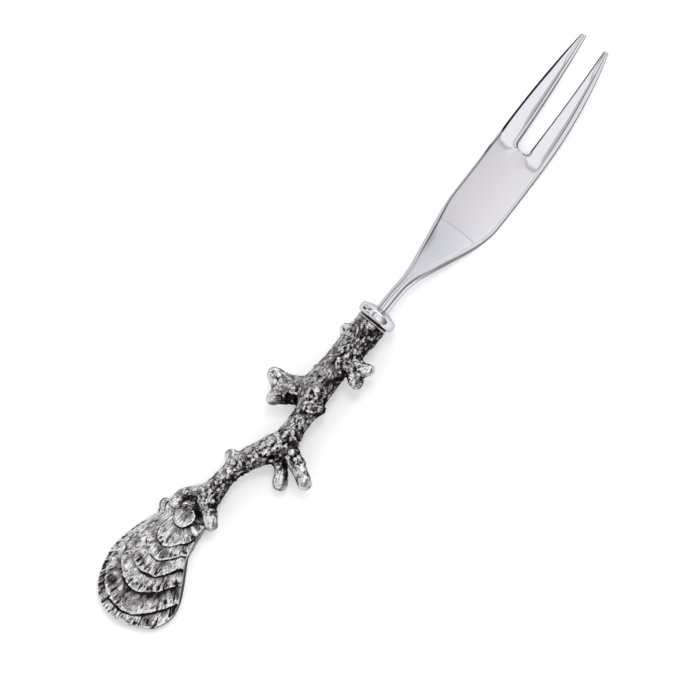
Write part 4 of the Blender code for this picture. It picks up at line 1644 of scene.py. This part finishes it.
@dataclass
class CoralHandle(Piece):
    """The cast coral branch, with side branches, knobs and the claws that hold the shell."""

    finish = ANTIQUE_PEWTER
    slot = Slot.DARK_PEWTER
    node = "coral_handle"
    shell: OysterShell
    tones: CoralTones = CoralTones()
    stem_length: float = 52.5 * MM
    stem_radius: float = 3.6 * MM
    stem_end_height: float = 5.1 * MM
    stem_steps: int = 4
    branch_steps: int = 5
    knob_length: float = 0.001 * MM
    fillet: float = 1.1 * MM
    hollow_fillet_share: float = 1 / 3
    hollow_span: Span = (1.25, 0.9)
    raggedness: float = 0.35 * MM
    grid_step: float = 0.17 * MM
    grid_margin: float = 1.5 * MM
    grid_headroom: float = 1.0 * MM
    socket_radius: float = 1.9 * MM
    socket_depth: float = 17.0 * MM
    socket_room: float = 0.2 * MM
    socket_end_room: float = 1 * MM
    seat_span: Span = (0.05 * MM, 0.5 * MM)
    facet_size: float = 0.86 * MM
    broad_size: float = 1.4 * MM
    broad_share: float = 0.8
    broad_patch: float = 3.2 * MM
    broad_span: Span = (-0.1, 0.1)
    facet_depth: float = 0.55 * MM
    facet_slope: float = 1.2 * MM
    facet_step: float = 0.2 * MM
    hump_level: float = 0.2
    crease_depth: float = 0.12 * MM
    crease_span: Span = (0.0, 0.11)
    chip_size: float = 0.54 * MM
    chip_depth: float = 0.26 * MM
    bead_size: float = 2.1 * MM
    bead_depth: float = 0.3 * MM
    bead_radius: float = 0.40
    bead_shares: Span = (0.45, 0.6)
    pit_depth: float = 0.3 * MM
    pit_edge: Span = (0.0, 0.2)
    pit_softness: float = 0.03
    pit_share: float = 0.05
    right_pit_share: float = 0.15
    right_pit_span: Span = (-0.35, 0.5)
    collar_pit_share: float = 0.25
    collar_pit_across: Span = (0.0, 1.5 * MM)
    collar_pit_below: Span = (6 * MM, 3.5 * MM)
    glint_shares: Span = (0.78, 0.82)
    glint_edge: Span = (0.0, 0.25)
    drawn_out: float = 0.76
    wear_span: Span = (1.3, 0.5)
    wear_smoothing: float = 0.85
    quiet_span: Span = (-0.35, 0.15)
    quiet_least: float = 0.5
    left_span: Span = (-0.1, 0.5)
    left_smoothing: float = 0.5
    steep_span: Span = (-0.3, 0.4)
    steep_least: float = 0.5
    high_span: Span = (-0.2 * MM, 0.14 * MM)
    open_ways: Span = (1.0 * MM, 2.6 * MM)
    painted_light_lean: float = math.radians(-20)
    painted_shade_span: Span = (0.8, 0.1)
    streak_size: float = 1.3 * MM
    grit_size: float = 0.5 * MM
    grit_depth: float = 0.015 * MM
    warp_size: float = 2.2 * MM
    warp_depth: float = 0.4 * MM
    lump_size: float = 2.8 * MM
    lump_depth: float = 0.2 * MM
    # How far from its tip each branch is rubbed.
    rubbed: dict[str, float] = field(
        default_factory=lambda: {
            "right_stub": 2.6 * MM,
            "right_stub_tip": 1.6 * MM,
            "left_fork": 2.8 * MM,
            "left_fork_tip": 2.3 * MM,
            "right_finger": 4.6 * MM,
            "low_finger": 3.2 * MM,
            "left_claw": 3.0 * MM,
            "right_claw": 3.2 * MM,
            "upper_left_knob": 2.4 * MM,
            "lower_left_knob": 2.4 * MM,
        }
    )
    # Where along the stem each hollow is, then right, along, up and radius in stem radii.
    hollows: dict[str, tuple[float, float, float, float, float]] = field(
        default_factory=lambda: {
            "under_left_fork": (0.455, -1.3, 0.0, 0.5, 0.25),
            "beside_left_fork": (0.458, -0.95, 0.0, 0.5, 0.36),
            "below_left_fork": (0.468, -1.15, -0.1, 0.45, 0.36),
            "above_low_finger": (0.69, 0.55, 0.0, 0.25, 0.25),
        }
    )
    # Share of the stem's length, shift to the right and radius, both in stem radii.
    course: tuple[tuple[float, float, float], ...] = (
        (0.0, 0.0, 1.0), (0.09, -0.03, 0.97), (0.24, -0.14, 0.92), (0.32, -0.14, 0.97),
        (0.385, -0.05, 0.97), (0.45, 0.22, 0.78), (0.53, 0.28, 0.67), (0.615, 0.25, 0.78),
        (0.67, -0.11, 0.81), (0.72, -0.53, 0.75), (0.76, -0.86, 0.70), (0.825, -1.20, 0.67),
        (0.89, -1.39, 0.61), (0.95, -1.46, 0.72), (1.0, -1.51, 0.81),
    )
    # Where along the stem each branch starts, then right, along, up and radius in stem radii.
    branches: dict[str, tuple] = field(
        default_factory=lambda: {
            "right_stub": (
                0.165,
                ((0.0, 0.0, 0.08, 0.67), (1.36, -0.2, 0.28, 0.5), (2.0, 0.08, 0.4, 0.34)),
            ),
            "right_stub_tip": (
                0.165,
                ((1.0, -0.45, 0.1, 0.52), (1.5, -0.8, 0.05, 0.48), (1.75, -0.98, 0.0, 0.4)),
            ),
            "left_fork": (
                0.37,
                ((-0.28, 0.0, 0.0, 0.72), (-1.64, -0.64, 0.08, 0.64), (-2.82, -0.74, 0.3, 0.42)),
            ),
            "left_fork_tip": (
                0.37,
                ((-1.2, -0.7, 0.05, 0.6), (-1.72, -1.4, -0.1, 0.56), (-2.0, -1.9, -0.15, 0.46)),
            ),
            "left_fork_web": (
                0.37,
                ((-0.6, -0.9, -0.3, 0.5), (-1.35, -1.3, -0.35, 0.42)),
            ),
            "left_fork_palm": (
                0.37,
                ((-1.6, -0.9, 0.0, 0.6), (-2.05, -1.2, 0.0, 0.48)),
            ),
            "right_finger": (
                0.61,
                ((0.14, 0.0, 0.0, 0.56), (1.64, -0.7, 0.17, 0.5), (2.88, -1.25, 0.25, 0.44)),
            ),
            "low_finger": (
                0.67,
                ((0.28, 0.0, -0.08, 0.44), (1.2, -0.67, -0.44, 0.42), (1.57, -1.33, -0.67, 0.5)),
            ),
            "left_claw": (
                1.0,
                ((-0.28, 0.08, 0.2, 0.5), (-1.11, -0.61, 0.42, 0.42), (-1.36, -1.5, 0.38, 0.39)),
            ),
            "right_claw": (
                1.0,
                ((0.2, -0.2, 0.15, 0.5), (0.95, -0.72, 0.35, 0.5), (1.32, -1.12, 0.25, 0.47)),
            ),
        }
    )
    # Where along the stem each knob is, then right, up and radius in stem radii.
    knobs: dict[str, tuple[float, float, float, float]] = field(
        default_factory=lambda: {
            "upper_left_knob": (0.085, -0.92, 0.12, 0.43),
            "left_fork_end": (0.428, -2.8, 0.3, 0.42),
            "finger_bead": (0.686, 3.29, 0.66, 0.27),
            "small_left_knob": (0.29, -0.98, -0.45, 0.33),
            "middle_right_knob": (0.415, 0.83, 0.08, 0.33),
            "lower_left_knob": (0.80, -0.83, 0.14, 0.42),
        }
    )

    def stem_stops(self) -> Row:
        """The stem's course as x, y, z and radius; it sinks with the square of the share."""
        share, shift, size = np.array(self.course).T
        height = self.layout.axis_height - (self.layout.axis_height - self.stem_end_height) * share**2
        along = self.layout.seat - self.stem_length * share
        return np.stack([shift * self.stem_radius, along, height, size * self.stem_radius], 1)

    def stem_centre(self, share: float) -> Row:
        """The stem's centre at a share of its length, between the stops of its course."""
        shares = np.array(self.course)[:, 0]
        return np.array([np.interp(share, shares, line) for line in self.stem_stops()[:, :3].T])

    def branch_paths(self) -> dict[str, Row]:
        """Smooth paths of the side branches and knobs, as x, y, z and radius."""
        paths = {}
        for name, (share, stops) in self.branches.items():
            start = np.append(self.stem_centre(share), 0.0)
            paths[name] = smooth_row(start + np.array(stops) * self.stem_radius, self.branch_steps)
        for name, (share, right, up, size) in self.knobs.items():
            centre = self.stem_centre(share) + np.array([right, 0.0, up]) * self.stem_radius
            knob = np.append(centre, size * self.stem_radius)
            paths[name] = np.stack([knob, knob + [0, self.knob_length, 0, 0]])
        return paths

    def hollow_balls(self) -> list[tuple[Row, float]]:
        """The centre and radius of each ball that is cut out of the coral."""
        balls = []
        for share, right, along, up, size in self.hollows.values():
            centre = self.stem_centre(share) + np.array([right, along, up]) * self.stem_radius
            balls.append((centre, size * self.stem_radius))
        return balls

    def inside_hollows(self, points: Row) -> Row:
        """How far inside a hollow each point is, from 0 to 1."""
        balls = self.hollow_balls()
        depth = [np.linalg.norm(points - centre, axis=1) / radius for centre, radius in balls]
        return between(np.min(depth, axis=0), *self.hollow_span)

    def casting(self) -> Casting:
        """The smooth form: stem and branches joined, hollows cut, squared at the collar and seated.

        Returns:
            The form's distances.
        """
        stem = smooth_row(self.stem_stops(), self.stem_steps)
        longer = stem[0] + [0.0, 2 * self.stem_radius, 0.0, 0.0]
        stem = np.vstack([longer, stem])
        paths = self.branch_paths()
        every = np.vstack([stem, *paths.values()])
        reach = every[:, 3:4] + self.grid_margin
        low, high = (every[:, :3] - reach).min(0), (every[:, :3] + reach).max(0)
        high[1] = self.layout.seat + self.grid_headroom
        form = Casting(low, high, self.grid_step)
        for path in (stem, *paths.values()):
            form.add_branch(path, self.fillet)
        for centre, radius in self.hollow_balls():
            form.cut_hollow(centre, radius, self.fillet * self.hollow_fillet_share, self.raggedness)
        x, y, z = form.axes(tuple(slice(0, count) for count in form.values.shape))
        around = np.sqrt(x**2 + (z - self.layout.axis_height) ** 2) - self.socket_radius
        socket = np.maximum(around, self.layout.seat - self.socket_depth - y)
        share = self.shell.share_at(np.stack(np.broadcast_arrays(x[:, :, 0], y[:, :, 0]), -1))
        ground = np.where(share < 1, self.shell.dome(np.minimum(share, 1)), -1.0)[:, :, None]
        for limit in (y - self.layout.seat, -socket, ground - z):
            form.values = np.maximum(form.values, limit.astype(np.float32))
        return form

    def smooth_skin(self, form: Casting, points: Row) -> CoralSkin:
        """Where the skin's points face, how far they are rubbed and how strong their relief is.

        Relief is weaker on rubbed tips, in quiet patches, on the left and on steep sides.

        Args:
            form: The smooth form.
            points: The points of its skin.

        Returns:
            The skin.
        """
        out = form.outward(points)
        paths = self.branch_paths()
        tips = np.stack([paths[name][-1, :3] for name in self.rubbed])
        reach = np.array(list(self.rubbed.values()))
        to_tip = np.min(np.linalg.norm(points[:, None] - tips[None], axis=2) / reach, axis=1)
        worn = between(to_tip, *self.wear_span)
        quiet = between(soft_noise(points / (2 * self.lump_size), Seed.QUIET_PATCHES), *self.quiet_span)
        rough = (1 - self.wear_smoothing * worn) * blended(self.quiet_least, 1.0, quiet)
        rough = rough * (1 - self.left_smoothing * between(-out[:, 0], *self.left_span))
        rough = rough * blended(self.steep_least, 1.0, between(out[:, 2], *self.steep_span))
        return CoralSkin(points, out, worn, rough)

    def calm(self, points: Row) -> Row:
        """How far the skin may move: 1 in the open, 0 at the collar's seat and in the socket."""
        off_axis = np.linalg.norm(points[:, [0, 2]] - [0, self.layout.axis_height], axis=1)
        below = self.layout.seat - points[:, 1]
        beside = off_axis < self.socket_radius + self.socket_room
        hidden = beside & (below < self.socket_depth + self.socket_end_room)
        return between(below, *self.seat_span) * np.where(hidden, 0.0, 1.0)

    def facets(self, bent: Row, size: float, seed: int) -> tuple[Row, Row]:
        """Humps around scattered seeds, each tilted and raised at random between creases.

        Args:
            bent: Places in bent space.
            size: How far apart the seeds are.
            seed: A number that picks the scattering.

        Returns:
            The height of each place, and how far it is out of the creases, from 0 to 1.
        """
        nearest, second, share, plane = pebbles(bent / size, seed)
        crease = between(second - nearest, *self.crease_span)
        tilted = plane * self.facet_slope + (share - 0.5) * self.facet_step
        return (self.hump_level - nearest**2) * self.facet_depth + tilted * crease, crease

    def pitted_share(self, skin: CoralSkin) -> Row:
        """Which share of the chips are pits: more on the right, and most there below the collar."""
        below = self.layout.seat - skin.points[:, 1]
        near_collar = between(skin.points[:, 0], *self.collar_pit_across)
        near_collar = near_collar * between(below, *self.collar_pit_below)
        facing_right = between(skin.out[:, 0], *self.right_pit_span)
        share = self.pit_share + self.right_pit_share * facing_right
        return share + self.collar_pit_share * near_collar

    def relief(self, skin: CoralSkin) -> CoralRelief:
        """The relief: facets and small chips of bent space, with beads on it and pits in it.

        Facets are cells that slope at random between creases, broader in some patches. Chips are
        smaller humps, of which some are pits and some bright flecks with painted glints. Beads stand up
        from some larger cells as half balls.

        Args:
            skin: The smooth skin.

        Returns:
            The relief.
        """
        points, seeds = skin.points, (Seed.WARP_X, Seed.WARP_Y, Seed.WARP_Z)
        warp = np.stack([layered_noise(points / self.warp_size, seed, 2) for seed in seeds], -1)
        bent = (points + self.warp_depth * warp) * [1.0, self.drawn_out, 1.0]
        facet, crease = self.facets(bent, self.facet_size, Seed.FACETS)
        broad, broad_crease = self.facets(bent, self.broad_size, Seed.BROAD_FACETS)
        broadly = between(soft_noise(points / self.broad_patch, Seed.BROAD_PATCHES), *self.broad_span)
        facet = blended(facet, self.broad_share * broad, broadly)
        crease = blended(crease, broad_crease, broadly)
        nearest, second, share, _ = pebbles(bent / self.chip_size, Seed.CHIPS)
        chip = (self.hump_level - nearest**2) * self.chip_depth
        pitted = self.pitted_share(skin)
        pit = between(share, pitted + self.pit_softness, pitted)
        pit = pit * between(second - nearest, *self.pit_edge)
        # Painted glints: a few chips are lightened into bright flecks.
        painted_glint = between(share, *self.glint_shares) * between(second - nearest, *self.glint_edge)
        nearest, _, share, _ = pebbles(bent / self.bead_size, Seed.BEADS)
        bead = np.clip(1 - (nearest / self.bead_radius) ** 2, 0, 1) * between(share, *self.bead_shares)
        height = facet + chip + self.bead_depth * np.sqrt(bead) - self.pit_depth * pit
        height = height - self.crease_depth * (1 - crease)
        return CoralRelief(height, crease, pit, painted_glint, bead)

    def patina_and_painted_shade(self, form: Casting, skin: CoralSkin, relief: CoralRelief, lumps: Row) -> Row:
        """How dark each point is: a ground tone and the weighted sum of the marks.

        Pits and creases hold dark patina, and shut-in places patina and painted shade. Hollows get a
        painted shadow, and sides that face away from the light get painted shade. High points and worn
        tips are bright, worn tips are streaked and some flecks get a painted glint. A place is shut in
        where the form is near a little way out from it.

        Args:
            form: The smooth form.
            skin: Its skin.
            relief: The relief on it.
            lumps: The broad lumps of the skin.

        Returns:
            One value for each point, from 0 to 1.
        """
        tones, points, out = self.tones, skin.points, skin.out
        # Shut-in places are darkened by patina and by painted shade.
        opened = [form.read(points + out * way) / way for way in self.open_ways]
        shut_in_patina_and_shade = 1 - np.clip(np.mean(opened, axis=0), 0, 1)
        high = between(skin.rough * relief.height, *self.high_span)
        streak = layered_noise(points / self.streak_size, Seed.STREAKS, 2)
        # Painted shadow in the hollows, lifted on the beads inside them.
        hollow_shadow = self.inside_hollows(points) * (1 - tones.bead_out_of_shadow * relief.bead)
        # Painted shade: sides facing away from a light leaning to the left are darkened.
        facing_painted_light = out[:, 0] * math.sin(self.painted_light_lean) + out[:, 2] * math.cos(self.painted_light_lean)
        marked = tones.crease * (1 - relief.crease) + tones.pit * relief.pit + tones.painted_glint * relief.painted_glint
        dark = tones.ground + tones.high * high + skin.rough * marked
        dark = dark + skin.worn * (tones.streak * streak + tones.worn)
        dark = dark + tones.lumps * lumps + tones.shut_in_patina_and_shade * shut_in_patina_and_shade + tones.hollow_shadow * hollow_shadow
        return np.clip(dark + tones.side * between(facing_painted_light, *self.painted_shade_span), 0.0, 1.0)

    def build(self) -> bpy.types.Object:
        """The coral: the smooth form's skin, pushed in and out by lumps, relief and grit.

        Returns:
            The new piece.
        """
        form = self.casting()
        points, faces = form.skin()
        skin = self.smooth_skin(form, points)
        relief = self.relief(skin)
        grit = layered_noise(points / self.grit_size, Seed.GRIT, 2)
        lumps = layered_noise(points / self.lump_size, Seed.LUMPS)
        push = self.lump_depth * lumps + skin.rough * (relief.height + self.grit_depth * grit)
        moved = points + skin.out * (push * self.calm(points))[:, None]
        return new_piece("cast_coral", moved, faces, self.patina_and_painted_shade(form, skin, relief, lumps))


@dataclass
class Bonds:
    """The hidden cement and solder, which keep their CAD shape and get a finish."""

    finishes: tuple[tuple[str, Finish], ...] = (("tang_cement", SET_EPOXY), ("peg_solder", DULL_SOLDER))

    def dress(self) -> None:
        """Gives each hidden node its material."""
        for node, finish in self.finishes:
            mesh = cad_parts[node].data
            mesh.materials.clear()
            mesh.materials.append(finish.material())
            log.info("%s keeps its shape in %s", node, finish.name)


@dataclass
class Studio:
    """A pale floor, a soft tent of light, one soft lamp and the camera."""

    layout: Layout
    floor_size: float = 12.0
    floor_colour: Colour = (0.93, 0.93, 0.93)
    floor_lift: float = 0.19
    camera_distance: float = 3.0
    clip_start: float = 0.01
    view_width: float = 154.0 * MM
    view_lean: float = math.radians(22)
    fork_turn: float = math.radians(51.35)
    aim_along: float = 65.56 * MM
    aim_across: float = -0.05 * MM
    sensor: float = 36.0
    dome_tint: Colour = (0.985, 0.98, 1.0)
    far_tint: Colour = (1.02, 1.055, 1.065)
    frame_tone: Colour = (0.76, 0.745, 0.74)
    panel_tone: Colour = (1.27, 1.285, 1.32)
    plain_tone: Colour = (0.85, 0.85, 0.85)
    near_span: Span = (-0.55, -0.65)
    far_level: float = 1.8
    far_span: Span = (0.74, 0.82)
    window_lean: Span = (math.radians(28), math.radians(24))
    corner_tone: Colour = (0.02, 0.02, 0.022)
    corner_along: Span = (-0.33, -0.1)
    corner_along_soft: float = 0.025
    corner_lean: Span = (-1.5, -0.9)
    corner_lean_soft: float = 0.05
    crease_from: float = 0.468
    crease_soft: float = 0.012
    panel_along: Span = (-0.38, -0.155)
    panel_soft: float = 0.008
    panel_left: Span = (math.radians(-62), math.radians(-50))
    panel_right: Span = (math.radians(-13), math.radians(-15.5))
    frame_width: float = 0.012
    frame_soft: float = 0.005
    frame_right: Span = (math.radians(-5.5), math.radians(-7.5))
    key_size: float = 0.3
    key_power: float = 2.2
    key_place: tuple[float, float, float] = (0.2, 0.38, 1.0)
    dome_most: float = 2.0
    side_most: float = 3.0
    dome_levels: tuple[tuple[float, float], ...] = (
        (-92, 0.38), (-87, 0.38), (-83, 0.9), (-48, 0.9), (-44, 0.15), (-36, 0.15), (-31, 0.92),
        (-26, 1.0), (-18, 1.2), (-9, 1.25), (-5, 0.18), (-1, 0.18), (4, 1.12), (24, 1.12), (28, 1.15),
        (44, 1.1), (62, 0.5), (80, 0.18), (92, 0.12),
    )
    side_levels: tuple[tuple[float, float], ...] = (
        (-1.0, 0.8), (-0.75, 0.9), (-0.62, 1.3), (-0.5, 1.6), (-0.36, 1.5), (-0.26, 1.2), (0.0, 1.15),
        (0.12, 1.0), (0.72, 0.9), (0.82, 2.0), (1.0, 1.6),
    )

    def floor(self) -> None:
        """A wide plane; camera and mirror rays see part of its white as its own."""
        half = self.floor_size / 2
        corners = [(-half, -half, 0), (half, -half, 0), (half, half, 0), (-half, half, 0)]
        mesh = bpy.data.meshes.new("floor")
        mesh.from_pydata(corners, [], [(0, 1, 2, 3)])
        material = bpy.data.materials.new("pale_floor")
        material.use_nodes = True
        material.node_tree.nodes.clear()
        wiring = Wiring(material.node_tree)
        path = wiring.add("ShaderNodeLightPath").outputs
        seen = wiring.math("MAXIMUM", path["Is Glossy Ray"], path["Is Transmission Ray"])
        seen = wiring.math("MAXIMUM", path["Is Camera Ray"], seen)
        lift = wiring.math("MULTIPLY", seen, self.floor_lift)
        diffuse = wiring.add("ShaderNodeBsdfDiffuse")
        wiring.feed(diffuse, "Color", self.floor_colour)
        glow = wiring.add("ShaderNodeEmission")
        wiring.feed(glow, "Strength", lift)
        both = wiring.add("ShaderNodeAddShader")
        wiring.feed(both, 0, diffuse.outputs[0])
        wiring.feed(both, 1, glow.outputs[0])
        output = wiring.add("ShaderNodeOutputMaterial")
        wiring.feed(output, "Surface", both.outputs[0])
        mesh.materials.append(material)
        plane = bpy.data.objects.new("floor", mesh)
        bpy.context.scene.collection.objects.link(plane)

    def dome(self, wiring: Wiring, lean: object, along: object) -> bpy.types.NodeSocket:
        """The tent's tone: levels by lean times levels along the fork, with an even near side.

        Args:
            wiring: The world's wiring.
            lean: A direction's lean to the right, as an angle.
            along: How far it points along the fork, from -1 to 1.

        Returns:
            The tone's socket.
        """
        share = wiring.math("MULTIPLY_ADD", lean, 1 / math.pi, 0.5)
        stops = [(angle / 180 + 0.5, level) for angle, level in self.dome_levels]
        level = wiring.levels(share, stops, self.dome_most)
        level = wiring.mix(wiring.rise(along, *self.near_span), level, self.plain_tone)
        share = wiring.math("MULTIPLY_ADD", along, 0.5, 0.5)
        stops = [(place / 2 + 0.5, level) for place, level in self.side_levels]
        side = wiring.levels(share, stops, self.side_most)
        far = wiring.rise(along, *self.far_span, 1.0, self.far_level)
        side = wiring.mix(wiring.rise(lean, *self.window_lean), side, far)
        dome = wiring.mix(1.0, self.dome_tint, wiring.mix(1.0, level, side, "MULTIPLY"), "MULTIPLY")
        corner = wiring.band(along, self.corner_along, self.corner_along_soft)
        across = wiring.band(lean, self.corner_lean, self.corner_lean_soft)
        return wiring.mix(wiring.math("MULTIPLY", corner, across), dome, self.corner_tone)

    def crease(self, wiring: Wiring, along: object, dome: object) -> bpy.types.NodeSocket:
        """The tent's tone with a grey crease across it, and cooler past that."""
        past = wiring.rise(along, self.crease_from, self.crease_from + self.frame_width)
        dome = wiring.mix(past, dome, wiring.mix(1.0, self.far_tint, dome, "MULTIPLY"))
        line = wiring.band(along, (self.crease_from, self.crease_from), self.crease_soft)
        return wiring.mix(line, dome, self.frame_tone)

    def panel(
        self, wiring: Wiring, lean: object, along: object, dome: object
    ) -> bpy.types.NodeSocket:
        """The tent's tone with a bright panel on its left, inside a thin grey frame."""
        low, high = self.panel_along
        inside = (low + self.frame_width, high - self.frame_width)
        frame_share = wiring.band(along, self.panel_along, self.frame_soft)
        panel = wiring.band(along, inside, self.panel_soft)
        across = wiring.rise(lean, *self.panel_left)
        across = wiring.math("MULTIPLY", across, wiring.rise(lean, *self.frame_right))
        dome = wiring.mix(wiring.math("MULTIPLY", frame_share, across), dome, self.frame_tone)
        panel = wiring.math("MULTIPLY", panel, wiring.rise(lean, *self.panel_right))
        return wiring.mix(wiring.math("MULTIPLY", panel, across), dome, self.panel_tone)

    def tent(self) -> None:
        """The world: a pale dome with a crease across it and a bright panel over the tines."""
        world = bpy.data.worlds.new("studio_tent")
        bpy.context.scene.world = world
        world.use_nodes = True
        wiring = Wiring(world.node_tree)
        split = wiring.add("ShaderNodeSeparateXYZ")
        wiring.feed(split, 0, wiring.add("ShaderNodeTexCoord").outputs["Generated"])
        x, along, z = split.outputs
        lean = wiring.math("ARCTAN2", x, z)
        dome = self.dome(wiring, lean, along)
        dome = self.crease(wiring, along, dome)
        dome = self.panel(wiring, lean, along, dome)
        wiring.feed(world.node_tree.nodes["Background"], "Color", dome)

    def lamp(self) -> None:
        """One soft disk lamp that faces the fork's middle and doesn't show in the metal."""
        light = bpy.data.lights.new("key_lamp", "AREA")
        light.shape = "DISK"
        light.size = self.key_size
        light.energy = self.key_power
        holder = bpy.data.objects.new("key_lamp", light)
        holder.location = self.key_place
        aim = Vector((0, self.aim_along, 0)) - holder.location
        holder.rotation_euler = aim.to_track_quat("-Z", "Y").to_euler()
        holder.visible_glossy = False
        bpy.context.scene.collection.objects.link(holder)

    def camera(self) -> None:
        """The photograph's view: almost square on, leaning to the right, with the fork turned up."""
        lean, turn = self.view_lean, self.fork_turn
        across = Vector((math.cos(lean), 0, -math.sin(lean)))
        along = Vector((0, 1, 0))
        right = along * math.cos(turn) + across * math.sin(turn)
        up = along * math.sin(turn) - across * math.cos(turn)
        back = right.cross(up)
        aim = Vector((0, self.aim_along, self.layout.axis_height)) + across * self.aim_across
        lens = bpy.data.cameras.new("camera")
        lens.sensor_width = self.sensor
        lens.lens = self.sensor * self.camera_distance / self.view_width
        lens.clip_start = self.clip_start
        holder = bpy.data.objects.new("camera", lens)
        turned = Matrix((right, up, back)).transposed().to_4x4()
        holder.matrix_world = Matrix.Translation(aim + back * self.camera_distance) @ turned
        bpy.context.scene.collection.objects.link(holder)
        bpy.context.scene.camera = holder

    def build(self) -> None:
        """Sets up the whole studio."""
        self.floor()
        self.tent()
        self.lamp()
        self.camera()
        bpy.context.scene.view_settings.view_transform = "Standard"


def main() -> None:
    """Builds every sub-assembly in order, then the studio."""
    logging.basicConfig(level=logging.INFO, format="%(name)s: %(message)s")
    layout = Layout()
    ForkHead(layout).dress()
    CollarRing(layout).dress()
    shell = OysterShell(layout)
    shell.dress()
    CoralHandle(layout, shell).dress()
    Bonds().dress()
    Studio(layout).build()


if __name__ == "__main__":
    main()
